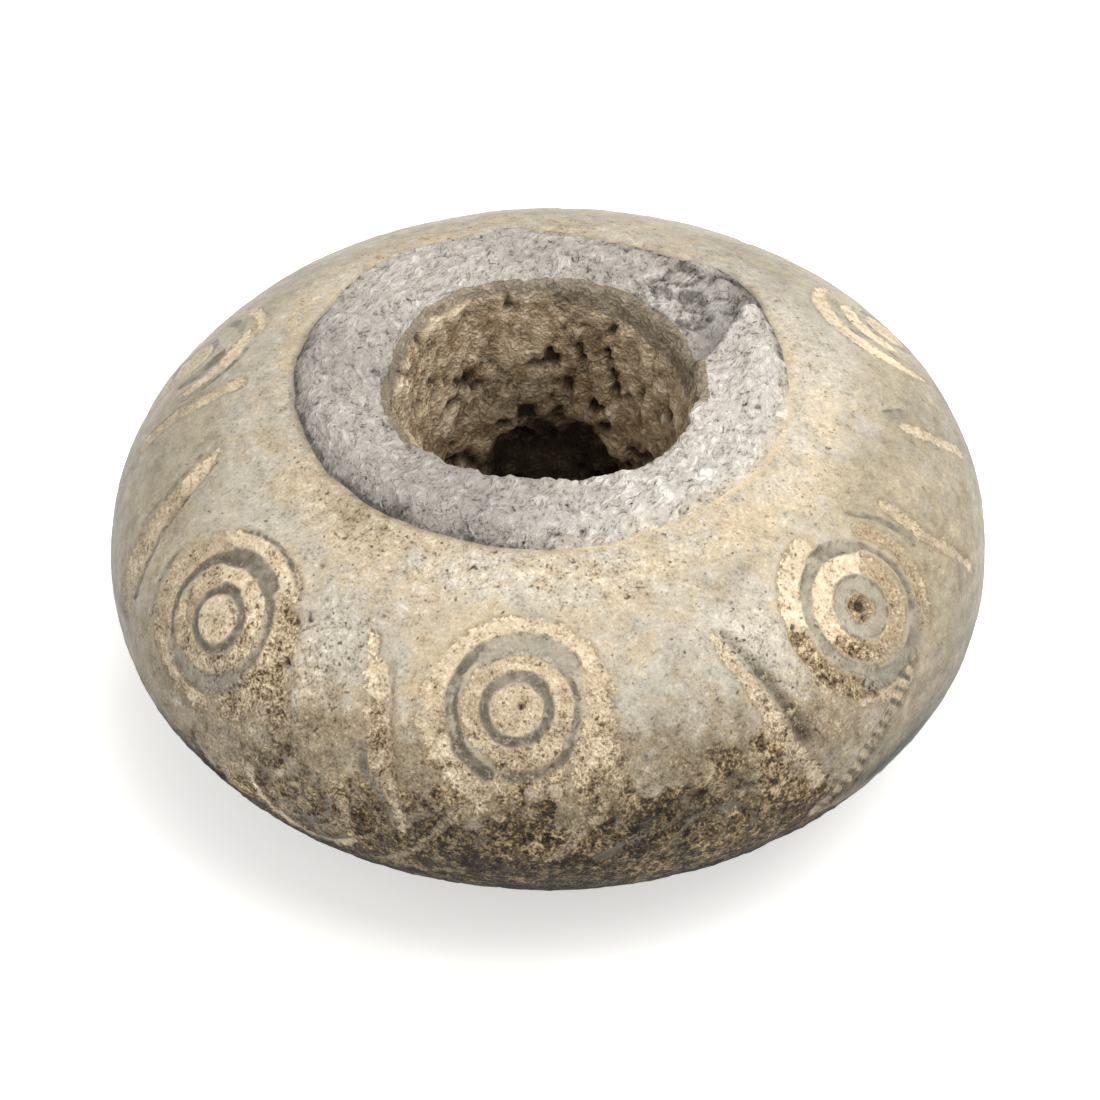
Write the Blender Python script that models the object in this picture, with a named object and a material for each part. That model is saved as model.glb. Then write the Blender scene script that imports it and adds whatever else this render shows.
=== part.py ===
"""A spindle whorl: one solid of worn, mineral-hard bone, pierced by a wide bore for the spindle.

The body is a lens with a broad rounded edge. Its upper half carries a row of ring-and-dot motifs,
each a dot inside two ring grooves, with slanting cuts between them. A plainer row of single rings
and dots runs below the widest line, set between the upper ones. Round the mouth of the bore the
skin is worn away to a rough, slightly proud ring, which is chipped and sunk towards the back.

Lengths are metres, +Z is up. The flat underside lies on z = 0, and the bore's axis is the Z axis.
Azimuths are degrees round that axis: 0 faces -Y, and +90 faces +X.
"""

import math

import bmesh
import bpy
from mathutils import Vector

MM = 0.001

# Body: two half curves of |r/R|^n + |z/h|^n = 1 that meet at the widest line.
BODY_DIAMETER = 30.0 * MM
EQUATOR_HEIGHT = 6.95 * MM
CROWN_REACH = 7.77 * MM
CROWN_EXPONENT = 2.35
BELLY_REACH = 7.88 * MM
BELLY_EXPONENT = 2.0
COLUMNS = 64
BELLY_ROWS = 6
CROWN_ROWS = 9

# Bore: wide at its mouth, narrower at the foot.
MOUTH_RADIUS = 5.45 * MM
FOOT_BORE_RADIUS = 4.3 * MM
FOOT_BORE_CHAMFER = 0.35 * MM
RIM_ROUNDING = 0.7 * MM
BORE_ROWS = 4

# Worn ring round the mouth.
RING_RADIUS = 8.3 * MM
RING_SHOULDER = 0.35 * MM
RING_ROWS = 3

# Uneven wear, as (azimuth, length) stations that are joined smoothly all the way round.
RING_EDGE_SHIFTS = [
    (-170, 0.9 * MM),
    (-145, 1.2 * MM),
    (-120, 0.5 * MM),
    (-80, 0.1 * MM),
    (0, -0.05 * MM),
    (80, -0.1 * MM),
    (112, 0.2 * MM),
    (138, 0.5 * MM),
    (155, -0.1 * MM),
]
RING_RISES = [
    (-175, 0.1 * MM),
    (-145, 0.03 * MM),
    (-124, 0.05 * MM),
    (-112, 0.3 * MM),
    (0, 0.25 * MM),
    (40, 0.13 * MM),
    (95, 0.15 * MM),
    (112, 0.28 * MM),
    (126, 0.1 * MM),
    (140, -0.4 * MM),
    (156, -0.2 * MM),
    (168, 0.1 * MM),
]
MOUTH_SHIFTS = [
    (-160, 0.15 * MM),
    (-100, 0.0 * MM),
    (-45, -0.05 * MM),
    (-12, -0.25 * MM),
    (8, -0.2 * MM),
    (30, 0.2 * MM),
    (70, 0.05 * MM),
    (110, -0.1 * MM),
    (150, 0.1 * MM),
]

# Ring-and-dot motifs.
DOT_RADIUS = 0.88 * MM
INNER_GROOVE_RADIUS = 1.5 * MM
INNER_GROOVE_WIDTH = 0.7 * MM
OUTER_GROOVE_RADIUS = 2.6 * MM
OUTER_GROOVE_WIDTH = 0.66 * MM
GROOVE_DEPTH = 0.28 * MM
GROOVE_FLOOR_SHARE = 0.6
CUTTER_LIFT = 0.2 * MM
DOT_SIDES = 14
INNER_GROOVE_SIDES = 22
OUTER_GROOVE_SIDES = 26

# Upper row: azimuth of the centre, its height above the widest line, and the arc of the outer
# groove that is cut, from its first to its last angle counted from the right, anticlockwise.
UPPER_MOTIFS = {
    "front_left": (-54.7, 3.95 * MM, 48, 305),
    "front": (-4.5, 4.4 * MM, 0, 360),
    "front_right": (51.2, 4.3 * MM, 0, 360),
    "right": (117.0, 4.3 * MM, 0, 360),
    "back": (182.0, 4.4 * MM, 0, 360),
    "left": (-112.5, 4.45 * MM, 0, 360),
}

# Lower row: the same two values for a dot inside one groove.
LOWER_GROOVE_RADIUS = 2.05 * MM
LOWER_GROOVE_WIDTH = 0.7 * MM
LOWER_GROOVE_SIDES = 22
LOWER_MOTIFS = {
    "front_left": (-37.0, -0.2 * MM),
    "right": (86.0, -3.0 * MM),
    "back_right": (149.0, -2.9 * MM),
    "back_left": (-148.0, -2.9 * MM),
    "left": (-88.0, -3.0 * MM),
}

# Slanting cuts: azimuth and height above the widest line of the upper and of the lower end.
CUT_WIDTH = 0.55 * MM
CUT_DEPTH = 0.24 * MM
CUT_STEPS = 6
CUT_END_SHARE = 0.3
SLANTING_CUTS = [
    (-99.5, 6.1 * MM, -95.5, 3.4 * MM),
    (-83.0, 6.0 * MM, -72.0, 1.2 * MM),
    (-46.0, 5.4 * MM, -36.5, 2.6 * MM),
    (-28.5, 5.3 * MM, -19.5, 1.0 * MM),
    (27.6, 5.2 * MM, 35.6, 0.4 * MM),
    (53.4, 1.6 * MM, 36.0, -1.3 * MM),
    (69.4, 5.2 * MM, 75.0, 2.0 * MM),
    (89.4, 5.2 * MM, 93.0, 2.4 * MM),
    (143.0, 5.4 * MM, 149.0, 1.2 * MM),
    (158.0, 5.2 * MM, 164.0, 1.6 * MM),
    (-158.0, 5.4 * MM, -152.0, 1.4 * MM),
    (-141.0, 5.2 * MM, -134.0, 1.2 * MM),
]

BONE_COLOUR = (0.40, 0.36, 0.30, 1.0)
BONE_ROUGHNESS = 0.72

BODY_RADIUS = BODY_DIAMETER / 2


def clear_scene():
    for old in list(bpy.data.objects):
        bpy.data.objects.remove(old, do_unlink=True)


def principled(name, colour, roughness):
    material = bpy.data.materials.new(name)
    material.use_nodes = True
    shader = material.node_tree.nodes["Principled BSDF"]
    shader.inputs["Base Color"].default_value = colour
    shader.inputs["Roughness"].default_value = roughness
    shader.inputs["Metallic"].default_value = 0.0
    return material


def smooth_step(share):
    return share * share * (3 - 2 * share)


def around(azimuth, stations):
    """The length at this azimuth, eased from one station to the next all the way round."""
    count = len(stations)
    for index in range(count):
        start, first = stations[index]
        end, last = stations[(index + 1) % count]
        span = (end - start) % 360
        travelled = (azimuth - start) % 360
        if travelled < span:
            return first + (last - first) * smooth_step(travelled / span)
    return stations[0][1]


def half_curve(rise):
    """The reach and the exponent of the half that a height above the widest line belongs to."""
    if rise >= 0:
        return CROWN_REACH, CROWN_EXPONENT
    return BELLY_REACH, BELLY_EXPONENT


def skin_radius(rise):
    reach, exponent = half_curve(rise)
    return BODY_RADIUS * (1 - (abs(rise) / reach) ** exponent) ** (1 / exponent)


def skin_rise(radius):
    """The height of the upper skin above the widest line, this far from the axis."""
    share = 1 - (radius / BODY_RADIUS) ** CROWN_EXPONENT
    return CROWN_REACH * share ** (1 / CROWN_EXPONENT)


def polar(azimuth, radius, rise):
    """A point from its azimuth, its distance from the axis and its height above the widest line."""
    angle = math.radians(azimuth)
    return Vector((radius * math.sin(angle), -radius * math.cos(angle), EQUATOR_HEIGHT + rise))


def beyond_skin(point):
    """Over zero outside the body's skin, under zero inside it."""
    rise = point.z - EQUATOR_HEIGHT
    reach, exponent = half_curve(rise)
    radius = math.hypot(point.x, point.y)
    return (radius / BODY_RADIUS) ** exponent + (abs(rise) / reach) ** exponent - 1


def skin_normal(point):
    rise = point.z - EQUATOR_HEIGHT
    reach, exponent = half_curve(rise)
    radius = math.hypot(point.x, point.y)
    outward = (radius / BODY_RADIUS) ** (exponent - 1) / BODY_RADIUS
    upward = math.copysign((abs(rise) / reach) ** (exponent - 1) / reach, rise)
    return Vector((outward * point.x / radius, outward * point.y / radius, upward)).normalized()


def drop_to_skin(point, axis):
    """Moves a point along the axis until it lies on the skin."""
    reach = BODY_RADIUS / 4
    inside, outside = -reach, reach
    for _ in range(40):
        middle = (inside + outside) / 2
        if beyond_skin(point + axis * middle) > 0:
            outside = middle
        else:
            inside = middle
    return point + axis * inside


def base_radius():
    return skin_radius(-EQUATOR_HEIGHT)


def ring_edge(azimuth):
    return RING_RADIUS + around(azimuth, RING_EDGE_SHIFTS)


def mouth_radius(azimuth):
    return MOUTH_RADIUS + around(azimuth, MOUTH_SHIFTS)


def section_at(azimuth):
    """The closed outline of the body at one azimuth, from the foot of the bore round and back."""
    outline = [(FOOT_BORE_RADIUS + FOOT_BORE_CHAMFER, -EQUATOR_HEIGHT)]
    flat_angle = math.asin((EQUATOR_HEIGHT / BELLY_REACH) ** (BELLY_EXPONENT / 2))
    for row in range(BELLY_ROWS):
        angle = flat_angle * (1 - row / BELLY_ROWS)
        rise = -BELLY_REACH * math.sin(angle) ** (2 / BELLY_EXPONENT)
        outline.append((skin_radius(rise), rise))
    edge = ring_edge(azimuth)
    edge_angle = math.acos((edge / BODY_RADIUS) ** (CROWN_EXPONENT / 2))
    for row in range(CROWN_ROWS + 1):
        angle = edge_angle * row / CROWN_ROWS
        rise = CROWN_REACH * math.sin(angle) ** (2 / CROWN_EXPONENT)
        outline.append((skin_radius(rise), rise))
    mouth = mouth_radius(azimuth)
    ring_rise = around(azimuth, RING_RISES)
    shoulder = edge - RING_SHOULDER
    crest = mouth + RIM_ROUNDING
    for row in range(RING_ROWS):
        radius = shoulder + (crest - shoulder) * row / (RING_ROWS - 1)
        outline.append((radius, skin_rise(radius) + ring_rise))
    rim_top = skin_rise(crest) + ring_rise
    outline.append((mouth + RIM_ROUNDING * (1 - math.sin(math.radians(45))), rim_top - RIM_ROUNDING * 0.25))
    rim_foot = rim_top - RIM_ROUNDING
    chamfer_top = FOOT_BORE_CHAMFER - EQUATOR_HEIGHT
    for row in range(BORE_ROWS + 1):
        share = row / BORE_ROWS
        radius = mouth + (FOOT_BORE_RADIUS - mouth) * share
        outline.append((radius, rim_foot + (chamfer_top - rim_foot) * share))
    return outline


def body_mesh():
    """A closed skin through the sections, which joins up both round the axis and along them."""
    mesh = bmesh.new()
    columns = []
    for column in range(COLUMNS):
        azimuth = column * 360 / COLUMNS
        section = section_at(azimuth)
        columns.append([mesh.verts.new(polar(azimuth, radius, rise)) for radius, rise in section])
    rows = len(columns[0])
    for column in range(COLUMNS):
        here, there = columns[column], columns[(column + 1) % COLUMNS]
        for row in range(rows):
            above = (row + 1) % rows
            mesh.faces.new((here[row], there[row], there[above], here[above]))
    bmesh.ops.recalc_face_normals(mesh, faces=mesh.faces)
    return mesh


def centre_frame(azimuth, rise):
    """A motif's centre on the skin, with the skin's normal, the way to the right and the way up."""
    centre = polar(azimuth, skin_radius(rise), rise)
    normal = skin_normal(centre)
    angle = math.radians(azimuth)
    right = Vector((math.cos(angle), math.sin(angle), 0.0))
    return centre, normal, right, normal.cross(right)


def add_trough(mesh, path, width, depth, tapers, closed):
    """A bar along the path whose lower side is sunk in the skin: it cuts a groove with sloping walls."""
    sections = []
    for (point, across), taper in zip(path, tapers):
        normal = skin_normal(point)
        top = across * (width / 2 * taper)
        floor = top * GROOVE_FLOOR_SHARE
        lifted = point + normal * CUTTER_LIFT
        sunk = point - normal * (depth * taper)
        corners = (lifted - top, sunk - floor, sunk + floor, lifted + top)
        sections.append([mesh.verts.new(corner) for corner in corners])
    pairs = list(zip(sections, sections[1:]))
    if closed:
        pairs.append((sections[-1], sections[0]))
    else:
        mesh.faces.new(sections[0])
        mesh.faces.new(reversed(sections[-1]))
    for here, there in pairs:
        for side in range(4):
            after = (side + 1) % 4
            mesh.faces.new((here[side], there[side], there[after], here[after]))


def add_ring_groove(mesh, azimuth, rise, radius, width, sides, first=0, last=360):
    centre, normal, right, up = centre_frame(azimuth, rise)
    closed = last - first >= 360
    count = max(3, round(sides * (last - first) / 360))
    path = []
    for step in range(count if closed else count + 1):
        angle = math.radians(first + (last - first) * step / count)
        away = right * math.cos(angle) + up * math.sin(angle)
        point = drop_to_skin(centre + away * radius, normal)
        across = (away - skin_normal(point) * away.dot(skin_normal(point))).normalized()
        path.append((point, across))
    add_trough(mesh, path, width, GROOVE_DEPTH, [1.0] * len(path), closed)


def add_dot(mesh, azimuth, rise):
    """A shallow dish at a motif's centre."""
    centre, normal, right, up = centre_frame(azimuth, rise)
    rims = {}
    for name, radius, lift in (
        ("top", DOT_RADIUS, CUTTER_LIFT),
        ("floor", DOT_RADIUS * GROOVE_FLOOR_SHARE, -GROOVE_DEPTH),
    ):
        rims[name] = []
        for side in range(DOT_SIDES):
            angle = math.tau * side / DOT_SIDES
            away = right * math.cos(angle) + up * math.sin(angle)
            point = drop_to_skin(centre + away * radius, normal)
            rims[name].append(mesh.verts.new(point + skin_normal(point) * lift))
    for name, lift in (("top", CUTTER_LIFT), ("floor", -GROOVE_DEPTH)):
        hub = mesh.verts.new(centre + normal * lift)
        for side in range(DOT_SIDES):
            mesh.faces.new((hub, rims[name][side], rims[name][(side + 1) % DOT_SIDES]))
    for side in range(DOT_SIDES):
        after = (side + 1) % DOT_SIDES
        top, floor = rims["top"], rims["floor"]
        mesh.faces.new((top[side], floor[side], floor[after], top[after]))


def add_slanting_cut(mesh, upper_azimuth, upper_rise, lower_azimuth, lower_rise):
    points = []
    for step in range(CUT_STEPS + 1):
        share = step / CUT_STEPS
        azimuth = upper_azimuth + (lower_azimuth - upper_azimuth) * share
        rise = upper_rise + (lower_rise - upper_rise) * share
        points.append(polar(azimuth, skin_radius(rise), rise))
    along = points[-1] - points[0]
    path = [(point, skin_normal(point).cross(along).normalized()) for point in points]
    tapers = [CUT_END_SHARE] + [1.0] * (CUT_STEPS - 1) + [CUT_END_SHARE]
    add_trough(mesh, path, CUT_WIDTH, CUT_DEPTH, tapers, closed=False)


def new_object(name, mesh, material=None):
    data = bpy.data.meshes.new(name)
    mesh.to_mesh(data)
    mesh.free()
    made = bpy.data.objects.new(name, data)
    bpy.context.scene.collection.objects.link(made)
    if material:
        data.materials.append(material)
    return made


def cut_from(target, name, mesh):
    """Turns the mesh into a hidden cutter and takes it out of the target."""
    bmesh.ops.recalc_face_normals(mesh, faces=mesh.faces)
    cutter = new_object(name, mesh)
    cutter.hide_render = True
    cutter.display_type = "WIRE"
    boolean = target.modifiers.new(name, "BOOLEAN")
    boolean.operation = "DIFFERENCE"
    boolean.solver = "EXACT"
    boolean.object = cutter


def upper_row_cutter():
    mesh = bmesh.new()
    for azimuth, rise, first, last in UPPER_MOTIFS.values():
        add_dot(mesh, azimuth, rise)
        add_ring_groove(mesh, azimuth, rise, INNER_GROOVE_RADIUS, INNER_GROOVE_WIDTH, INNER_GROOVE_SIDES)
        add_ring_groove(
            mesh, azimuth, rise, OUTER_GROOVE_RADIUS, OUTER_GROOVE_WIDTH, OUTER_GROOVE_SIDES, first, last
        )
    return mesh


def lower_row_cutter():
    mesh = bmesh.new()
    for azimuth, rise in LOWER_MOTIFS.values():
        add_dot(mesh, azimuth, rise)
        add_ring_groove(mesh, azimuth, rise, LOWER_GROOVE_RADIUS, LOWER_GROOVE_WIDTH, LOWER_GROOVE_SIDES)
    return mesh


def slanting_cutter():
    mesh = bmesh.new()
    for ends in SLANTING_CUTS:
        add_slanting_cut(mesh, *ends)
    return mesh


def make_whorl():
    bone = principled("mineral_bone", BONE_COLOUR, BONE_ROUGHNESS)
    whorl = new_object("whorl", body_mesh(), bone)
    cut_from(whorl, "upper_row_cutter", upper_row_cutter())
    cut_from(whorl, "lower_row_cutter", lower_row_cutter())
    cut_from(whorl, "slanting_cutter", slanting_cutter())
    whorl.data.shade_smooth()
    whorl.data.set_sharp_from_angle(angle=math.radians(30))
    return whorl


clear_scene()
make_whorl()
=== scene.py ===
"""Dressed model of a carved bone spindle whorl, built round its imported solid.

The whorl is one solid of mineral-hard bone: a lens with a broad rounded edge, pierced by a wide
bore. Its crown carries a row of ring-and-dot motifs with slanting cuts between them, and a
plainer row runs below the widest line. Buff earth is packed in the grooves, a dark crust clings
low on the front, the skin round the mouth is worn away to a rough grey ring, and the bore is
lined with lumpy earth.

Lengths are millimetres until the mesh is written in metres. Azimuths are degrees round the bore's
axis: 0 faces -Y and +90 faces +X. The arc is the way along the skin from the top of the axis,
outwards over the crown, past the widest line at about 18.8 and on under the belly. Rises are
heights above the widest line.
"""

import logging
import math
from collections.abc import Iterator
from dataclasses import dataclass, field
from enum import Enum
from functools import cached_property
from itertools import product

import bpy
import numpy as np
from mathutils import Matrix


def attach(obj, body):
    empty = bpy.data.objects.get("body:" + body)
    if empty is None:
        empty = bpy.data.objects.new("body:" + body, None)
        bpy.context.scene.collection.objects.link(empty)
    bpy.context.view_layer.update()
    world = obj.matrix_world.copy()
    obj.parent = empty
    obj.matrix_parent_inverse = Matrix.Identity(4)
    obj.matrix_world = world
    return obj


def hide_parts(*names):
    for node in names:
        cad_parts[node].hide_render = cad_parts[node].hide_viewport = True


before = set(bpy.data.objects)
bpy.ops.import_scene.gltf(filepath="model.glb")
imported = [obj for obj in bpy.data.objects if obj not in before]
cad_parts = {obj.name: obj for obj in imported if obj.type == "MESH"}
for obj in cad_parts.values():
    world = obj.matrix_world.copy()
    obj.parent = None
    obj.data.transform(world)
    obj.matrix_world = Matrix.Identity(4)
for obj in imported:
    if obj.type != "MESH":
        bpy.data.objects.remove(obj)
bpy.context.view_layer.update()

MM = 0.001
# Stands for a point that no carved band comes near.
FAR = -4.0
# Spread the corners of a lattice over a table of slopes.
PRIMES = (73856093, 19349663, 83492791)

Values = np.ndarray
Stations = tuple[tuple[float, float], ...]
Socket = bpy.types.NodeSocket
Inputs = dict[str | int, object]

log = logging.getLogger("whorl")


def smooth(low: float, high: float, value: Values) -> Values:
    """Ease from 0 to 1 while the value goes from low to high."""
    share = np.clip((value - low) / (high - low), 0.0, 1.0)
    return share * share * (3.0 - 2.0 * share)


def around(azimuth: Values, stations: Stations) -> Values:
    """Smooth closed curve through stations all the way round the axis.

    Args:
        azimuth: Where the values are wanted, in degrees.
        stations: Pairs of azimuth and value, in rising azimuth.

    Returns:
        The value at each azimuth.
    """
    angles = np.array([angle for angle, _ in stations], float)
    firsts = np.array([value for _, value in stations], float)
    lasts = np.roll(firsts, -1)
    starts = angles - angles[0]
    spans = np.append(starts[1:], 360.0) - starts
    slopes = (lasts - firsts) / spans
    before = np.roll(slopes, 1)
    steady = slopes * before > 0
    leaving = np.where(steady, 2.0 * slopes * before / np.where(steady, slopes + before, 1.0), 0.0)
    arriving = np.roll(leaving, -1)
    travelled = (azimuth - angles[0]) % 360.0
    index = np.searchsorted(starts, travelled, side="right") - 1
    share = (travelled - starts[index]) / spans[index]
    rest = 1.0 - share
    parting = firsts[index] * (1.0 + 2.0 * share) * rest ** 2
    nearing = lasts[index] * (1.0 + 2.0 * rest) * share ** 2
    bend = leaving[index] * share * rest ** 2 - arriving[index] * share ** 2 * rest
    return parting + nearing + spans[index] * bend


def turned(angle: Values, origin: float) -> Values:
    """Angles measured from the origin, from -180 to 180 degrees."""
    return (angle - origin + 180.0) % 360.0 - 180.0


def apart(angle: Values, middle: float) -> Values:
    """Degrees between each angle and the middle."""
    return np.abs(turned(angle, middle))


def bell(value: Values, width: float) -> Values:
    """Smooth hump: 1 where the value is 0, and almost gone two widths away."""
    return np.exp(-((value / width) ** 2))


@dataclass(frozen=True)
class Grain:
    """Smooth random relief in three dimensions, the same on each run for one seed."""

    seed: int
    slopes: int = 512
    reach: float = 1.7
    shift: float = 7.3

    @cached_property
    def table(self) -> Values:
        """Unit slopes that the corners of the lattice draw from."""
        drawn = np.random.default_rng(self.seed).normal(size=(self.slopes, 3))
        return drawn / np.linalg.norm(drawn, axis=1, keepdims=True)

    def wave(self, points: Values, length: float) -> Values:
        """One octave of relief.

        Args:
            points: Places in millimetres, with x, y and z on the last axis.
            length: Wavelength in millimetres.

        Returns:
            Values in about -1 to 1.
        """
        scaled = points / length
        cell = np.floor(scaled).astype(np.int64)
        inside = scaled - cell
        ease = inside ** 3 * (inside * (inside * 6.0 - 15.0) + 10.0)
        total = np.zeros(points.shape[:-1])
        for corner in product((0, 1), repeat=3):
            at = cell + np.array(corner)
            first, second, third = (at[..., axis] * prime for axis, prime in enumerate(PRIMES))
            slope = self.table[(first ^ second ^ third) % self.slopes]
            weight = np.prod(np.where(np.array(corner) == 1, ease, 1.0 - ease), axis=-1)
            total += weight * ((inside - np.array(corner)) * slope).sum(axis=-1)
        return total * self.reach

    def layers(self, points: Values, length: float, octaves: int, gain: float = 0.55) -> Values:
        """Several octaves of relief, each half as long as the last.

        Args:
            points: Places in millimetres.
            length: Longest wavelength in millimetres.
            octaves: Number of octaves.
            gain: Strength of each octave as a share of the last.

        Returns:
            Values in about -1 to 1.
        """
        total = np.zeros(points.shape[:-1])
        for octave in range(octaves):
            total += gain ** octave * self.wave(points + self.shift * octave, length / 2 ** octave)
        return total


@dataclass(frozen=True)
class LensForm:
    """The plain body: two half curves of |r/R|^n + |z/h|^n = 1 that meet at the widest line."""

    radius: float
    equator: float = 6.95
    crown_reach: float = 7.77
    crown_exponent: float = 2.35
    belly_reach: float = 7.88
    belly_exponent: float = 2.0
    steps: int = 6000

    def skin_radius(self, rise: Values) -> Values:
        """Distance of the skin from the axis at this rise.

        Args:
            rise: Height above the widest line.

        Returns:
            Radius in millimetres.
        """
        reach = np.where(rise >= 0, self.crown_reach, self.belly_reach)
        power = np.where(rise >= 0, self.crown_exponent, self.belly_exponent)
        return self.radius * (1.0 - (np.abs(rise) / reach) ** power) ** (1.0 / power)

    def skin_rise(self, radius: Values) -> Values:
        """Rise of the upper skin over the widest line, this far from the axis."""
        share = 1.0 - (radius / self.radius) ** self.crown_exponent
        return self.crown_reach * share ** (1.0 / self.crown_exponent)

    @cached_property
    def table(self) -> tuple[Values, Values, Values]:
        """The skin's outline at close steps, from the top down.

        Returns:
            Arc, radius and rise at each step.
        """
        angle = np.linspace(math.pi / 2, -math.pi / 2, self.steps)
        reach = np.where(angle >= 0, self.crown_reach, self.belly_reach)
        power = np.where(angle >= 0, self.crown_exponent, self.belly_exponent)
        radius = self.radius * np.abs(np.cos(angle)) ** (2.0 / power)
        rise = np.sign(angle) * reach * np.abs(np.sin(angle)) ** (2.0 / power)
        step = np.hypot(np.diff(radius), np.diff(rise))
        return np.concatenate([[0.0], np.cumsum(step)]), radius, rise

    def place(self, arc: Values) -> tuple[Values, Values]:
        """Radius and rise of the skin at this arc, in millimetres."""
        arcs, radii, rises = self.table
        return np.interp(arc, arcs, radii), np.interp(arc, arcs, rises)

    def arc_at_rise(self, rise: float) -> float:
        """Arc at which the skin has this rise."""
        arcs, _, rises = self.table
        return float(np.interp(-rise, -rises, arcs))

    def arc_at_radius(self, radius: Values) -> Values:
        """Arc at which the crown is this far from the axis.

        Args:
            radius: Distance from the axis.

        Returns:
            Arc in millimetres.
        """
        arcs, radii, rises = self.table
        crown = rises >= 0
        return np.interp(radius, radii[crown], arcs[crown])


def in_space(azimuth: Values, radius: Values, rise: Values) -> Values:
    """Points from azimuth, radius and rise, with x, y and z on the last axis."""
    angle = np.radians(azimuth)
    return np.stack([radius * np.sin(angle), -radius * np.cos(angle), rise + 0.0 * angle], axis=-1)


def on_circle(azimuth: Values, radius: float) -> Values:
    """Points this far from the axis, level with the widest line."""
    return in_space(azimuth, np.full_like(azimuth, radius), np.zeros_like(azimuth))


class Zone(Enum):
    """Parts of the surface that take a finish of their own."""

    SKIN = 0
    RING = 1
    BORE = 2


class Mark(Enum):
    """What a carved line shows now."""

    FILL = "fill"
    WALL = "wall"
    CUT = "cut"
    PIT = "pit"


@dataclass(frozen=True)
class Arc:
    """A band along part of a circle, in a motif's own plane, with angles from the right."""

    radius: float
    width: float
    start: float = 0.0
    sweep: float = 360.0
    end_width: float | None = None
    end_radius: float | None = None
    tone: float = 0.3
    shift: tuple[float, float] = (0.0, 0.0)
    thinned: float = 0.0

    def inside(self, across: Values, up: Values) -> Values:
        """How far each point lies inside the band, and under zero outside it.

        Args:
            across: Place to the right of the motif's centre.
            up: Place above the motif's centre.

        Returns:
            Distance in millimetres.
        """
        across = across - self.shift[0]
        up = up - self.shift[1]
        away = np.hypot(across, up)
        if self.sweep >= 360.0 and self.end_width is None and self.end_radius is None:
            return self.width / 2 - np.abs(away - self.radius)
        middle = self.start + self.sweep / 2
        along = turned(np.degrees(np.arctan2(up, across)), middle) + self.sweep / 2
        share = np.clip(along / self.sweep, 0.0, 1.0)
        last_width = self.width if self.end_width is None else self.end_width
        last_radius = self.radius if self.end_radius is None else self.end_radius
        width = self.width + (last_width - self.width) * share
        radius = self.radius + (last_radius - self.radius) * share
        if self.thinned:
            width = width * np.sqrt(smooth(0.0, self.thinned, np.minimum(share, 1.0 - share)))
        beyond = np.radians(np.maximum(np.maximum(-along, along - self.sweep), 0.0)) * radius
        return width / 2 - np.hypot(away - radius, beyond)


@dataclass(frozen=True)
class Motif:
    """A ring-and-dot motif: where its centre is, and the bands that it is made of."""

    azimuth: float
    rise: float
    fills: tuple[Arc, ...]
    walls: tuple[Arc, ...] = ()
    pits: tuple[Arc, ...] = ()
    reach: float = 4.6

    def plane(self, form: LensForm, points: Values) -> tuple[Values, Values, Values]:
        """Places of points in the plane that touches the skin at the motif's centre.

        Args:
            form: The plain body.
            points: Points on the skin.

        Returns:
            Places to the right and up, and True where the point is near enough to matter.
        """
        radius = float(form.skin_radius(np.array(self.rise)))
        centre = in_space(np.array(self.azimuth), np.array(radius), np.array(self.rise))
        upper = self.rise >= 0
        power = form.crown_exponent if upper else form.belly_exponent
        reach = form.crown_reach if upper else form.belly_reach
        outward = (radius / form.radius) ** (power - 1) / form.radius
        upward = math.copysign((abs(self.rise) / reach) ** (power - 1) / reach, self.rise)
        normal = np.array([outward * centre[0] / radius, outward * centre[1] / radius, upward])
        normal /= np.linalg.norm(normal)
        angle = math.radians(self.azimuth)
        right = np.array([math.cos(angle), math.sin(angle), 0.0])
        offset = points - centre
        near = np.linalg.norm(offset, axis=-1) < self.reach
        return offset @ right, offset @ np.cross(normal, right), near


@dataclass(frozen=True)
class Stroke:
    """A line along the skin through stations of azimuth and arc."""

    stations: Stations
    width: float
    end_width: float | None = None
    tone: float = 0.3

    def inside(self, form: LensForm, points: Values) -> Values:
        """How far each point lies inside the line, and under zero outside it.

        Args:
            form: The plain body.
            points: Points on the skin.

        Returns:
            Distance in millimetres.
        """
        azimuths = np.array([azimuth for azimuth, _ in self.stations], float)
        arcs = np.array([arc for _, arc in self.stations], float)
        radii, rises = form.place(arcs)
        ends = in_space(azimuths, radii, rises)
        last = self.width if self.end_width is None else self.end_width
        best = np.full(points.shape[:-1], FAR)
        count = len(ends) - 1
        for index in range(count):
            along = ends[index + 1] - ends[index]
            share = np.clip((points - ends[index]) @ along / (along @ along), 0.0, 1.0)
            away = np.linalg.norm(points - ends[index] - share[..., None] * along, axis=-1)
            width = self.width + (last - self.width) * (index + share) / count
            best = np.maximum(best, width / 2 - away)
        return best


@dataclass(frozen=True)
class Patch:
    """A soft-edged patch of colour, crust or wear, by its centre and its half sizes."""

    azimuth: float
    arc: float
    across: float
    along: float
    amount: float
    steepness: float = 1.4

    def cover(self, azimuth: Values, arc: Values, radius: Values) -> Values:
        """How much of the patch lies on each point.

        Args:
            azimuth: Azimuth of each point.
            arc: Arc of each point.
            radius: Distance of each point from the axis.

        Returns:
            Values from 0 to the patch's amount.
        """
        side = np.radians(turned(azimuth, self.azimuth)) * radius / self.across
        down = (arc - self.arc) / self.along
        return self.amount * np.exp(-((side ** 2 + down ** 2) ** self.steepness))


def patches(*rows: tuple[float, float, float, float, float]) -> tuple[Patch, ...]:
    """Patches from rows of azimuth, arc, half width, half height and amount."""
    return tuple(Patch(*row) for row in rows)


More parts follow.
